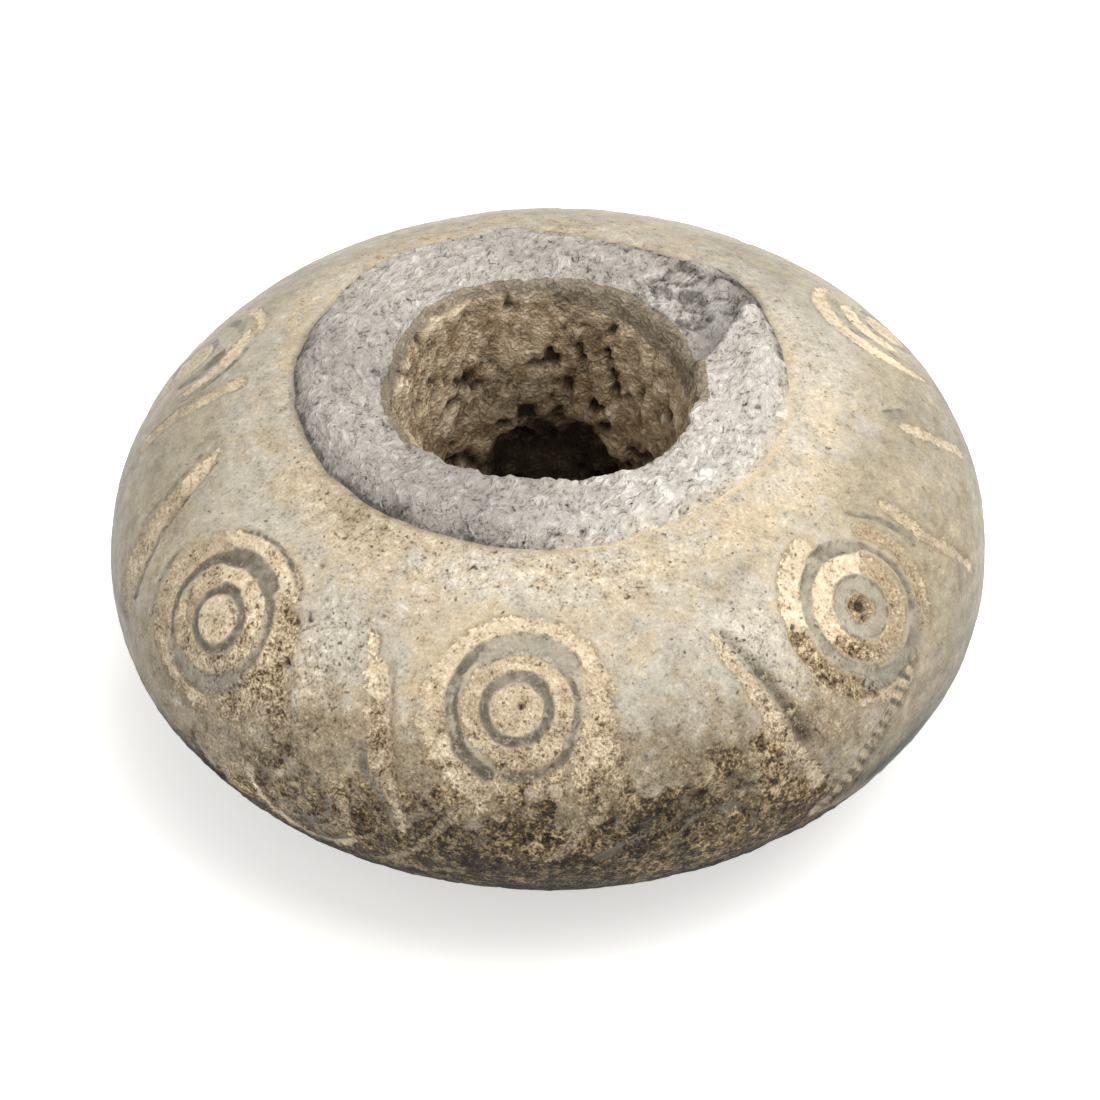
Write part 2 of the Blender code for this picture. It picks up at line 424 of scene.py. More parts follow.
def plain_motif(azimuth: float, rise: float) -> Motif:
    """A whole motif with even bands, for the side that the front view doesn't reach."""
    return Motif(
        azimuth, rise,
        fills=(
            Arc(0, 1.7, tone=0.35), Arc(1.55, 0.66, 100, 290, tone=0.5, thinned=0.2),
            Arc(2.66, 0.6, 150, 250, tone=0.45, thinned=0.3),
        ),
        walls=(
            Arc(1.05, 0.24, 120, 270, tone=0.6, thinned=0.3),
            Arc(2.12, 0.28, 170, 210, tone=0.55, thinned=0.3),
        ),
        pits=(Arc(0, 0.2, tone=0.6),),
    )


def lower_motif(azimuth: float, rise: float) -> Motif:
    """A dot inside one ring, as cut below the widest line."""
    return Motif(
        azimuth, rise,
        fills=(Arc(2.05, 0.7, tone=0.5), Arc(0, 1.76, tone=0.5)),
        pits=(Arc(0, 0.24, tone=0.5),),
    )


def ticks(line: Stations, line_width: float, count: int, width: float = 0.13, turn: float = 1.3,
          drop: float = 0.38, tone: float = 0.9) -> tuple[Stroke, ...]:
    """Short dark ticks across a line, which leave it beaded.

    Args:
        line: Azimuth and arc along the line.
        line_width: Width of the line in millimetres.
        count: Number of ticks.
        width: Width of a tick in millimetres.
        turn: Azimuth that each half of a tick takes, for each millimetre of the line's width.
        drop: Arc that each half of a tick takes, for each millimetre of the line's width.
        tone: How dark the ticks are.

    Returns:
        The ticks.
    """
    steps = np.arange(len(line))
    places = (np.arange(count) + 0.5) / count * steps[-1]
    azimuths = np.interp(places, steps, [azimuth for azimuth, _ in line])
    arcs = np.interp(places, steps, [arc for _, arc in line])
    aside, down = turn * line_width, drop * line_width
    return tuple(
        Stroke(((azimuth - aside, arc - down), (azimuth + aside, arc + down)), width, tone=tone)
        for azimuth, arc in zip(azimuths, arcs)
    )


UPPER_MOTIFS: tuple[Motif, ...] = (
    Motif(
        -54.7, 3.95,
        fills=(
            Arc(0, 1.76, tone=0.12), Arc(1.5, 0.76, 15, 115, tone=0.08),
            Arc(1.5, 0.76, 130, 245, tone=0.55), Arc(2.8, 0.52, 56, 74, tone=0.02),
            Arc(3, 0.5, 50, 14, tone=0.02), Arc(2.62, 0.86, 130, 90, tone=0.5),
            Arc(2.75, 0.42, 215, 72, tone=0.35), Arc(2.85, 1.1, -42, 72, tone=0.65),
        ),
        walls=(
            Arc(1.01, 0.27, tone=0.85), Arc(1.1, 0.3, 88, 30, tone=0.9),
            Arc(2.2, 0.62, 64, 56, tone=0.7),
            Arc(2.24, 0.5, 120, 48, end_width=0.24, end_radius=2.1, tone=0.8),
            Arc(2.1, 0.25, 165, 58, end_radius=2.2, tone=0.8), Arc(2.15, 0.2, -32, 94, tone=0.6),
            Arc(2.15, 0.56, 243, 84, tone=0.28), Arc(3.12, 0.07, 56, 62, tone=1),
            Arc(3.3, 0.1, 165, 44, tone=0.4),
        ),
        # The thin pit at radius 3.58 paints the curved shadow of a chip.
        pits=(Arc(0, 0.17, tone=1, shift=(3.23, 0.45)), Arc(3.58, 0.12, 33, 5, tone=0.9)),
    ),
    Motif(
        -4.5, 4.4,
        fills=(
            Arc(0, 1.92, tone=0.38, shift=(-0.1, -0.03)), Arc(1.5, 0.72, tone=0.45),
            Arc(2.76, 0.56, 104, 66, tone=0), Arc(2.8, 0.44, 22, 84, tone=0.12),
            Arc(2.66, 0.95, -34, 58, tone=0.45), Arc(2.86, 0.8, 168, 68, tone=0.42),
            Arc(3.35, 0.7, -50, 30, tone=0.7),
        ),
        walls=(
            Arc(1.07, 0.29, tone=0.75, shift=(-0.13, -0.04)),
            Arc(1.06, 0.4, 45, 80, tone=0.75, shift=(-0.06, -0.02)), Arc(2.16, 0.72, 46, 80, tone=0.14),
            Arc(1.92, 0.14, 45, 90, tone=0.75), Arc(2.32, 0.5, 124, 38, end_width=0.16, tone=0.8),
            Arc(2.16, 0.12, 155, 52, tone=0.9), Arc(2.44, 0.08, 160, 48, tone=0.6),
            Arc(2.38, 0.42, 213, 32, tone=0.85),
            Arc(2.24, 0.36, 260, 68, end_width=0.18, end_radius=2.06, tone=0.8),
            Arc(1.88, 0.16, -34, 82, tone=0.5),
        ),
        pits=(Arc(0, 0.2, tone=1, shift=(0.02, 0.07)),),
    ),
    Motif(
        51.2, 4.3,
        fills=(
            Arc(0, 1.1, tone=1), Arc(1.52, 0.74, 50, 134, tone=0), Arc(1.5, 0.62, 184, 66, tone=1.1),
            Arc(1.52, 0.64, 250, 160, tone=0.7), Arc(2.66, 0.72, 97, 66, tone=0.02),
            Arc(2.72, 0.75, 165, 80, tone=1.1), Arc(3, 0.36, 238, 44, tone=0.4),
            Arc(2.8, 0.5, -40, 84, tone=0.65),
        ),
        walls=(
            Arc(0.84, 0.5, tone=0.2), Arc(1, 0.14, 150, 200, tone=1),
            Arc(1.03, 0.12, -10, 80, tone=0.8), Arc(2.1, 0.38, 54, 80, tone=0.4),
            Arc(2.08, 0.34, 134, 112, tone=0.3), Arc(2.45, 0.56, 244, 78, tone=0.35),
            Arc(2.22, 0.22, -36, 90, tone=0.6), Arc(2.38, 0.08, 58, 46, tone=1),
        ),
        pits=(
            Arc(0, 0.42, tone=0.8, shift=(0.1, 0.02)), Arc(0, 0.2, tone=0.8, shift=(-0.08, -0.36)),
            Arc(0, 0.2, tone=0.6, shift=(-0.3, 0.25)), Arc(0, 0.2, tone=0.9, shift=(-2.58, 0.98)),
        ),
    ),
    Motif(
        117, 4.3,
        fills=(
            Arc(2.6, 0.66, 25, 165, tone=0.05, thinned=0.35),
            Arc(1.5, 0.6, 35, 130, tone=0.05, thinned=0.3), Arc(0, 1.6, tone=0.3),
            Arc(3.2, 0.36, 275, 90, tone=0.3, thinned=0.4),
        ),
        walls=(Arc(2.05, 0.36, 40, 140, tone=0.3, thinned=0.4), Arc(1.02, 0.22, tone=0.4)),
        pits=(Arc(0, 0.2, tone=0.4),),
    ),
    plain_motif(182, 4.4),
    Motif(
        -112.5, 4.45,
        fills=(
            Arc(0, 1.7, tone=0.4), Arc(2.3, 0.6, 12, 100, tone=0.05, thinned=0.3),
            Arc(2.76, 0.34, 85, 105, tone=0.2, thinned=0.4),
            Arc(2.6, 0.5, 190, 140, tone=0.45, thinned=0.4),
        ),
        walls=(
            Arc(1.55, 0.5, 0, 92, tone=0.75, thinned=0.3),
            Arc(2.02, 0.36, 106, 68, tone=0.6, thinned=0.4),
            Arc(1, 0.2, 80, 220, tone=0.35, thinned=0.3),
            Arc(2.74, 0.12, 16, 90, tone=0.5, thinned=0.3),
        ),
    ),
)

LOWER_MOTIFS: tuple[Motif, ...] = (
    Motif(
        -33.8, 0,
        fills=(
            Arc(0, 1.4, tone=0.75), Arc(1.5, 0.56, 175, 200, tone=0.7),
            Arc(2.25, 0.34, 172, 150, tone=0.08),
        ),
        walls=(Arc(0.98, 0.3, 215, 190, tone=0.55), Arc(1.95, 0.14, 200, 120, tone=0.6)),
    ),
    Motif(
        21, -1,
        fills=(
            Arc(2, 0.4, 12, 156, tone=0.9, thinned=0.3), Arc(0.9, 0.4, 0, 180, tone=1, thinned=0.3),
        ),
        walls=(Arc(1.5, 0.3, 8, 164, tone=0.6),),
    ),
    lower_motif(86, -3),
    lower_motif(149, -2.9),
    lower_motif(-148, -2.9),
    lower_motif(-88, -3),
)

# The line at the right that ticks cross, by azimuth and arc.
BEADED_LINE: Stations = ((54.8, 16.5), (50.4, 17.6), (46, 18.4), (41.4, 19.4), (36.5, 20.5))
BEADED_WIDTH = 0.54

STROKES: dict[Mark, tuple[Stroke, ...]] = {
    Mark.FILL: (
        Stroke(((-99.6, 10.8), (-98, 11.9), (-97.6, 13), (-95.7, 14.7)), 0.5, tone=0.3),
        Stroke(((-82.6, 11.3), (-80.6, 12.1), (-78.2, 13.2)), 0.16, 0.72, tone=0),
        Stroke(((-78.2, 13.2), (-75.6, 15), (-74, 17.2)), 0.8, 1.1, tone=0.5),
        Stroke(((-46, 12.6), (-42, 14.4), (-39, 16.2)), 0.5, 0.9, tone=0.75),
        Stroke(((-28.7, 12.4), (-28, 12.8)), 0.26, tone=0.1),
        Stroke(((-26.6, 13.4), (-25, 14.1)), 0.7, tone=0.1),
        Stroke(((-25, 14.4), (-24, 15.3), (-22, 17.4)), 0.62, 0.9, tone=0.6),
        Stroke(((-24.2, 15.9), (-21.7, 17.2), (-20.1, 18.1), (-19.7, 18.9)), 0.24, tone=0.05),
        Stroke(((-27.2, 17.5), (-24.8, 18.3), (-21.9, 19.3)), 0.55, tone=0.8),
        Stroke(((-18.6, 14.6), (-14.8, 15.8), (-12.2, 16.6), (-9.3, 17.2)), 0.34, tone=0.3),
        Stroke(
            ((-24.1, 21.4), (-17.4, 19.5), (-13.6, 18.1), (-10.2, 17), (-5, 15.9)),
            0.34, 0.46, tone=0.62,
        ),
        Stroke(((9.2, 15.4), (8.2, 16.6), (4.5, 18), (0.4, 19.4)), 0.36, 0.5, tone=0.7),
        Stroke(((-37.5, 17.2), (-42.8, 18.3), (-46.5, 19.4), (-49.8, 20.6)), 0.2, 0.4, tone=0.8),
        Stroke(((26.2, 12.5), (28.9, 14.3), (31.6, 16.4), (35.8, 18.8)), 0.3, 0.62, tone=0.35),
        Stroke(BEADED_LINE, BEADED_WIDTH, tone=0),
        Stroke(((69, 12.5), (69.4, 14), (71.6, 15.2), (75.1, 16.9)), 0.42, 0.3, tone=0.35),
        Stroke(((88.8, 12.6), (90.4, 14), (92.2, 15.2)), 0.52, 0.35, tone=0),
        Stroke(((145, 12.9), (147, 15.2), (149, 17.4)), 0.12, 0.62, tone=0.5),
        Stroke(((159.5, 13.2), (161.5, 15.2), (164, 17.2)), 0.12, 0.5, tone=0.6),
        Stroke(((-156.5, 12.8), (-154.5, 15.2), (-152, 17.4)), 0.12, 0.58, tone=0.55),
        Stroke(((-139.5, 13.2), (-137, 15.3), (-134, 17.6)), 0.12, 0.5, tone=0.6),
    ),
    Mark.WALL: (
        Stroke(((-77, 13), (-74.7, 14.2), (-73, 15.2), (-71.6, 16.6)), 0.3, 0.16, tone=0.55),
        # This thin dark stroke paints the shadow on the left of the cut at -80.
        Stroke(((-83.4, 12), (-80.8, 13.3), (-79, 14.9)), 0.12, tone=0.35),
        Stroke(((-26, 15.9), (-25.1, 16.7), (-21.8, 18), (-20.8, 19.1)), 0.3, 0.2, tone=0.5),
        Stroke(((5.4, 19.7), (8.4, 19.1), (11.8, 18.7)), 0.4, 0.2, tone=0.7),
        *ticks(BEADED_LINE, BEADED_WIDTH, 13),
        Stroke(((62.4, 11.5), (65.6, 12.4), (67.4, 13.8)), 0.16, tone=0.4),
        Stroke(((90, 11.9), (92.4, 12.6)), 0.4, tone=0.3),
    ),
    # Cuts, painted dark along their trench with grit and painted shade.
    Mark.CUT: (
        Stroke(((-80.2, 11.6), (-77.6, 12.7), (-75.6, 13.9)), 0.1, 0.3, tone=0.7),
        Stroke(((-39.4, 14.4), (-37.4, 15.6), (-36.2, 16.9)), 0.1, tone=0.6),
        Stroke(((-24.6, 13), (-22.6, 14.7), (-20.8, 16.8)), 0.1, tone=0.5),
        Stroke(((11.6, 18.4), (18.1, 17.4), (25.7, 17.2)), 0.24, 0.14, tone=0.8),
        Stroke(((28.2, 12.4), (30.9, 13.9), (33.2, 15.4), (34.8, 16.8)), 0.14, 0.6, tone=1),
        Stroke(((146.6, 13.4), (148.4, 15), (150, 16.6)), 0.08, 0.2, tone=0.5),
        Stroke(((-155, 13.4), (-153.4, 15), (-151.8, 16.4)), 0.08, 0.18, tone=0.5),
    ),
}

# Azimuth, arc and width of each pinhole in the skin.
PINHOLES: tuple[tuple[float, float, float], ...] = (
    (-39.5, 8.7, 0.24), (-63.9, 8.6, 0.2), (-59.0, 8.75, 0.14), (-57.6, 9.4, 0.12),
    (-53.7, 9.8, 0.14), (-44.6, 10.9, 0.1), (-40.4, 12.7, 0.16), (-40.5, 14.3, 0.12),
    (57.8, 8.5, 0.16), (44.0, 9.2, 0.08), (-8.0, 9.4, 0.08), (12.0, 9.1, 0.08),
)
PINHOLE_TURN = 0.3

# Arc at which the crust begins, all the way round.
CRUST_TOP: Stations = (
    (-150, 25.0), (-100, 23.5), (-75, 21.6), (-60, 20.0), (-48, 18.8), (-38, 17.7), (-26, 17.5),
    (-14, 17.3), (0, 16.9), (14, 16.7), (24, 16.4), (31, 17.4), (40, 20.0), (60, 22.4), (100, 24.5),
)


@dataclass
class Strip:
    """A run of rows of the closed skin, each a ring of points, and what is known at each point.

    The reach is the way along the surface: the arc on the skin and the foot, the share of the way
    across on the worn ring, and the depth in the bore.
    """

    azimuth: Values
    radius: Values
    rise: Values
    reach: Values
    fine: bool = False
    layers: dict[str, Values] = field(default_factory=dict)

    @cached_property
    def points(self) -> Values:
        """Places of the plain form in millimetres, measured from the widest line."""
        return in_space(self.azimuth, self.radius, self.rise)

    def patched(self, patches: tuple[Patch, ...]) -> Values:
        """Summed cover of the patches at each point."""
        covers = (patch.cover(self.azimuth, self.reach, self.radius) for patch in patches)
        return sum(covers, np.zeros_like(self.radius))


@dataclass(frozen=True)
class Underside:
    """The flat foot that the whorl stands on, from the bore's chamfer to the belly."""

    form: LensForm
    bore_edge: float = 4.65
    rows: int = 7
    wear_depth: float = 0.05
    wear: Grain = Grain(11)

    @property
    def flat_radius(self) -> float:
        """Where the flat foot meets the belly."""
        return float(self.form.skin_radius(np.array(-self.form.equator)))

    def strip(self, azimuth: Values) -> Strip:
        """Rows of the foot from the bore outwards.

        Args:
            azimuth: Azimuth of each column.

        Returns:
            The strip of rows.
        """
        radii = np.linspace(self.bore_edge, self.flat_radius, self.rows, endpoint=False)
        radius = np.repeat(radii[:, None], azimuth.size, axis=1)
        reach = self.form.arc_at_rise(-self.form.equator) + self.flat_radius - radius
        return Strip(azimuth, radius, np.full_like(radius, -self.form.equator), reach)

    def carve(self, strip: Strip) -> Values:
        """Height of the slight wear, which leaves the foot standing on its high places."""
        return np.minimum(self.wear_depth * self.wear.layers(strip.points, 2.2, 3), 0.0)


@dataclass(frozen=True)
class Skin:
    """The belly and the crown with their ornament, earth and crust."""

    form: LensForm
    belly_step: float = 0.32
    front_arc: float = 22.6
    front_step: float = 0.17
    ornament_arc: float = 17.6
    ornament_step: float = 0.125
    plain_arc: float = 10.6
    plain_rows: int = 9
    waviness: float = 0.035
    grit_height: float = 0.012
    groove_depth: float = 0.07
    soil_depth: float = 0.1
    groove_grit: float = 0.045
    wall_depth: float = 0.17
    wall_grit: float = 0.02
    cut_depth: float = 0.34
    cut_grit: float = 0.09
    pit_depth: float = 0.3
    lump_height: float = 0.1
    crust_grit: float = 0.05
    crust_sink: float = 0.06
    hidden_share: float = 0.72
    front_middle: float = -15.0
    flank_middle: float = -8.0
    base: float = 0.98
    plain_tone: float = 0.3
    # Size and length of the waves that the hand left in the carved edges.
    waver: tuple[tuple[float, float], ...] = ((0.05, 1.1), (0.03, 0.4))
    wall_waver: float = 0.5
    # Arcs between which painted shade darkens the skin downwards, and by how much; the last step paints
    # the contact shadow under the belly.
    painted_shade_falls: tuple[tuple[float, float, float], ...] = (
        (12.5, 14.5, 0.07), (14.5, 16.5, 0.12), (16.5, 18.2, 0.17), (18.2, 20.0, 0.12),
        (20.2, 22.4, 0.4),
    )
    wear: Grain = Grain(23)
    hand: Grain = Grain(29)
    # Where the skin is paler than the rest, from the left round to the right: partly paler bone, partly
    # painted light; the rows at -33 and 30 near arc 12.7 paint a sheen.
    pale: tuple[Patch, ...] = patches(
        (-135, 9.6, 4, 1, 0.1), (-52, 13.4, 3, 2.6, 0.08), (-42, 15, 1.6, 1.2, 0.14),
        (-38, 20, 3, 1.1, 0.3), (-33, 12.6, 1.5, 1.3, 0.06), (-18, 13.6, 1, 1.6, 0.05),
        (-10, 9.6, 5, 1.2, 0.07), (-2, 16.3, 1.6, 0.7, 0.26), (14, 17.6, 1, 0.6, 0.16),
        (30, 12.7, 1.4, 1, 0.1), (30, 14.6, 1, 1.6, 0.06), (46, 13.4, 3.2, 2.4, 0.12),
        (55, 9.4, 7.5, 1.2, 0.14), (98, 9.4, 4, 1.6, 0.12), (117, 13.4, 3, 2.4, 0.3),
    )
    # Where it is darker: partly stain, partly painted shade, most of all in the rows low on the belly
    # near arc 20.
    dull: tuple[Patch, ...] = patches(
        (-128, 13.2, 3, 1.4, -0.13), (-96, 14, 2.2, 2.4, -0.1), (-92, 16.6, 4.4, 1.4, -0.1),
        (-88, 17.6, 5, 1.2, -0.12), (-86, 14, 3.4, 2, -0.12), (-80, 18, 4, 1.6, -0.13),
        (-75, 13.2, 1.8, 0.8, -0.12), (-68, 20.6, 4, 1.2, -0.25), (-58, 20.3, 2, 0.6, -0.4),
        (-58, 20.8, 3.2, 0.6, -0.4), (-50, 15.8, 0.9, 0.6, -0.2), (-48, 8.9, 2, 0.5, -0.12),
        (-42, 18.8, 1, 0.6, -0.2), (-34, 19.9, 1.3, 0.6, -0.3), (-34, 20.3, 1.4, 0.5, -0.25),
        (-33, 12, 1.8, 0.9, -0.14), (-18, 14.8, 0.8, 0.6, -0.1), (-17, 18.3, 0.8, 0.5, -0.2),
        (-10, 18.8, 1, 0.5, -0.12), (-6, 20.3, 3, 0.6, -0.25), (6, 17.8, 0.9, 0.5, -0.2),
        (8, 11, 3, 0.7, -0.04), (14, 18.3, 1, 0.5, -0.25), (14, 20, 1.2, 0.6, -0.2),
        (16, 13.2, 1.2, 1.6, -0.08), (19, 17.9, 1.6, 0.5, -0.2), (22, 14.6, 2.4, 1.6, -0.12),
        (48, 20.3, 2.6, 0.5, -0.25), (54, 20.3, 2, 0.5, -0.2), (60, 19.8, 5, 1.4, -0.2),
        (72, 13.8, 1.8, 2, -0.1), (98, 14.2, 3, 1.6, -0.1), (102, 16.5, 3, 2.2, -0.12),
        (104, 16.4, 3, 1.4, -0.16), (120, 14.6, 2.4, 1.4, -0.16), (127, 10.6, 2.6, 0.9, -0.1),
        (130, 11.5, 2.2, 1.2, -0.14), (134, 12.6, 2.2, 1.1, -0.12), (180, 10.6, 9, 1.6, -0.1),
    )
    # Where it is buff, or cool under zero; the cool rows at -33 and 30 near arc 12.7 tint the painted
    # sheen.
    warmths: tuple[Patch, ...] = patches(
        (-92, 11.4, 5, 1.5, -0.6), (-62, 11, 2.4, 0.8, -0.6), (-52, 9.3, 3.4, 0.8, 0.5),
        (-47, 8.8, 2.2, 0.5, 1.5), (-33, 12.6, 1.8, 1.6, -0.9), (-18, 12, 1.4, 1.4, 0.5),
        (12, 14, 2, 1.6, -0.4), (30, 12.7, 1.8, 1.3, -0.9), (40, 9.3, 2.4, 0.7, 0.6),
        (70, 13.5, 3, 3, 0.4), (112, 10.4, 5, 1.4, -0.9),
    )
    # Where buff crumbs lie in the crust, or none under zero.
    crumbs: tuple[Patch, ...] = patches(
        (-46, 18.2, 2, 1, 0.6), (-40, 20.4, 2.6, 0.6, 0.7), (-37, 18, 1.2, 1, -0.7),
        (-30, 17.4, 2.2, 0.8, 0.7), (-16, 19.2, 3, 0.6, -0.5), (-12, 18, 2.4, 0.5, -0.5),
        (-8, 17.3, 1.8, 0.5, 0.5), (6, 18.4, 1.6, 0.5, 0.9), (14, 18.1, 1.8, 0.35, -0.9),
        (18, 20.2, 4, 0.7, 0.4), (24, 17.4, 1.2, 0.3, -1), (27, 18.4, 1.6, 0.6, 0.5),
    )
    # Where soil clings.
    dirts: tuple[Patch, ...] = patches(
        (-57, 16.8, 2.2, 0.9, 0.25), (-46, 8.8, 1.6, 0.35, 0.45), (-32, 15.8, 1.3, 1.6, 0.35),
        (-18, 15.6, 0.9, 1.2, 0.3), (-11, 17.2, 1.4, 0.6, 0.3), (-10, 10.8, 2, 0.6, 0.12),
        (0, 17.4, 2.2, 0.5, 0.3), (14, 15.4, 1.8, 0.8, 0.25), (22, 16.8, 1.6, 0.7, 0.4),
        (24, 16.2, 2.2, 0.6, 0.35), (33, 10.6, 2.2, 0.5, 0.14), (38, 16.6, 1.4, 1.2, 0.3),
        (76, 11.4, 1.6, 0.8, 0.3), (101, 13.4, 1.6, 0.9, 0.3),
    )
    # Where it is gritty; the rows at -33 and 30 give the painted sheen its grain.
    grits: tuple[Patch, ...] = patches(
        (-42, 14.8, 2.2, 2.8, 0.6), (-33, 12.6, 1.2, 1.2, 0.5), (-20, 8.9, 9, 1.2, 0.5),
        (30, 12.9, 1.2, 1, 0.6), (33, 15.8, 1.3, 2.4, 0.4),
    )

    def strips(self, azimuth: Values, edge: Values) -> list[Strip]:
        """Rows from the foot up to the worn ring's edge.

        Args:
            azimuth: Azimuth of each column.
            edge: Radius of the ring's edge at each column.

        Returns:
            A coarse, a fine and a coarse strip.
        """
        foot_arc = self.form.arc_at_rise(-self.form.equator)
        runs = (
            (foot_arc, self.front_arc, self.belly_step),
            (self.front_arc, self.ornament_arc, self.front_step),
            (self.ornament_arc, self.plain_arc, self.ornament_step),
        )
        belly, front, ornament = (np.arange(start, end + step / 2, -step) for start, end, step in runs)
        edge_arc = self.form.arc_at_radius(edge)
        share = np.arange(self.plain_rows)[:, None] / self.plain_rows
        plain = self.plain_arc + (edge_arc - self.plain_arc) * share
        found = []
        for arcs, fine in ((belly, False), (np.concatenate([front, ornament]), True), (plain, False)):
            reach = arcs if arcs.ndim == 2 else np.repeat(arcs[:, None], azimuth.size, axis=1)
            radius, rise = self.form.place(reach)
            found.append(Strip(azimuth, radius, rise, reach, fine))
        return found

    def bands(self, points: Values) -> Iterator[tuple[Mark, float, Values]]:
        """Each carved band with how far the points lie inside it.

        Args:
            points: Points on the skin.

        Yields:
            What the band shows, its tone, and a distance in millimetres for each point.
        """
        for motif in UPPER_MOTIFS + LOWER_MOTIFS:
            across, up, near = motif.plane(self.form, points)
            groups = ((Mark.FILL, motif.fills), (Mark.WALL, motif.walls), (Mark.PIT, motif.pits))
            for mark, arcs in groups:
                for band in arcs:
                    yield mark, band.tone, np.where(near, band.inside(across, up), FAR)
        for mark, strokes in STROKES.items():
            for stroke in strokes:
                yield mark, stroke.tone, stroke.inside(self.form, points)

    def mark(self, strip: Strip) -> None:
        """Works out how far each point lies inside the fills, walls, cuts and pits.

        Args:
            strip: Strip of the skin, which takes the new layers.
        """
        shape = strip.radius.shape
        hand = sum(size * self.hand.wave(strip.points, length) for size, length in self.waver)
        inside = {mark: np.full(shape, FAR) for mark in Mark}
        tone = {mark: np.full(shape, self.plain_tone) for mark in Mark}
        for mark, given, found in self.bands(strip.points):
            better = found > inside[mark]
            inside[mark] = np.where(better, found, inside[mark])
            tone[mark] = np.where(better, given, tone[mark])
        for azimuth, arc, width in PINHOLES:
            hole = Stroke(((azimuth, arc), (azimuth + PINHOLE_TURN, arc)), width)
            inside[Mark.PIT] = np.maximum(inside[Mark.PIT], hole.inside(self.form, strip.points))
        for mark in Mark:
            edge = self.wall_waver * hand if mark is Mark.WALL else hand
            strip.layers[mark.value] = inside[mark] + edge
            strip.layers[mark.value + "_tone"] = tone[mark]

    def colour(self, strip: Strip) -> None:
        """Lays the broad changes of tone, warmth, grit, crust and polish, with painted light and shade
        in the tone.

        Args:
            strip: Strip of the skin, which takes the new layers.
        """
        broad = self.wear.layers(strip.points, 4.2, 4, 0.7)
        blotch = self.hand.layers(strip.points + 31.0, 2.2, 4, 0.75)
        arc = strip.reach
        layers = strip.layers
        # The crust has a ragged top, and leaves the cuts clear.
        carved = np.maximum(np.maximum(layers["fill"], layers["wall"]), layers["cut"])
        clean = smooth(-0.12, 0.12, carved) * (0.85 - 0.35 * layers["fill_tone"])
        depth = arc - around(strip.azimuth, CRUST_TOP)
        layers["crust"] = smooth(-1.6, 1.4, depth + 1.3 * blotch) * (1.0 - clean)
        layers["crumbs"] = strip.patched(self.crumbs)
        # Soil gathers downwards, most of all at the front; under the belly it also paints shade.
        front = smooth(75.0, 20.0, apart(strip.azimuth, self.front_middle))
        dirt = 0.08 + 0.42 * smooth(12.0, 17.5, arc) + 0.25 * front * smooth(14.0, 17.5, arc)
        layers["dirt"] = dirt + 0.5 * smooth(18.5, 21.5, arc) + strip.patched(self.dirts)
        # Painted shade darkens the skin downwards, most of all under the belly; with the paler and
        # darker patches it makes the shade layer.
        low = sum(fall * smooth(start, end, arc) for start, end, fall in self.painted_shade_falls)
        layers["shade"] = self.base + strip.patched(self.pale + self.dull) + 0.06 * broad - low
        layers["warmth"] = strip.patched(self.warmths) + 0.45 * blotch
        # The flanks are polished, and less gritty.
        flanks = smooth(42.0, 78.0, apart(strip.azimuth, self.flank_middle))
        layers["polish"] = flanks * smooth(9.8, 12.0, arc)
        grit = 0.35 + 0.4 * front * smooth(13.0, 16.5, arc) + strip.patched(self.grits)
        layers["grit"] = grit * (1.0 - 0.75 * layers["polish"])

    def carve(self, strip: Strip) -> Values:
        """Marks and colours the skin, sinks the grooves and pits, and raises the crust.

        Args:
            strip: Strip of the skin, which takes the new layers.

        Returns:
            Height over the plain form.
        """
        self.mark(strip)
        self.colour(strip)
        layers = strip.layers
        wall = smooth(-0.07, 0.08, layers["wall"])
        groove = smooth(-0.14, 0.14, layers["fill"]) * (1.0 - wall)
        cut = smooth(-0.16, 0.14, layers["cut"]) * (0.4 + 0.6 * layers["cut_tone"])
        pit = smooth(-0.08, 0.08, layers["pit"]) * layers["pit_tone"]
        grit = self.hand.layers(strip.points, 0.5, 2, 0.8)
        lumps = self.wear.layers(strip.points, 1.1, 3, 0.75)
        side = smooth(62.0, 92.0, apart(strip.azimuth, 0.0))
        shallow = 1.0 - self.hidden_share * side
        height = self.waviness * self.wear.wave(strip.points, 3.1) + self.grit_height * grit
        height -= shallow * groove * (self.groove_depth + self.soil_depth * layers["fill_tone"])
        height += groove * self.groove_grit * grit * (0.4 + layers["fill_tone"])
        bared = self.wall_depth * (0.5 + 0.5 * layers["wall_tone"]) + self.wall_grit * grit
        height -= wall * shallow * bared
        height -= cut * (self.cut_depth + self.cut_grit * grit)
        height -= self.pit_depth * pit
        calm = 1.0 - 0.7 * np.maximum(smooth(18.4, 20.6, strip.reach), side)
        heaped = self.lump_height * lumps + self.crust_grit * grit
        height += layers["crust"] * (calm * heaped - self.crust_sink)
        layers["lumps"] = lumps
        return height


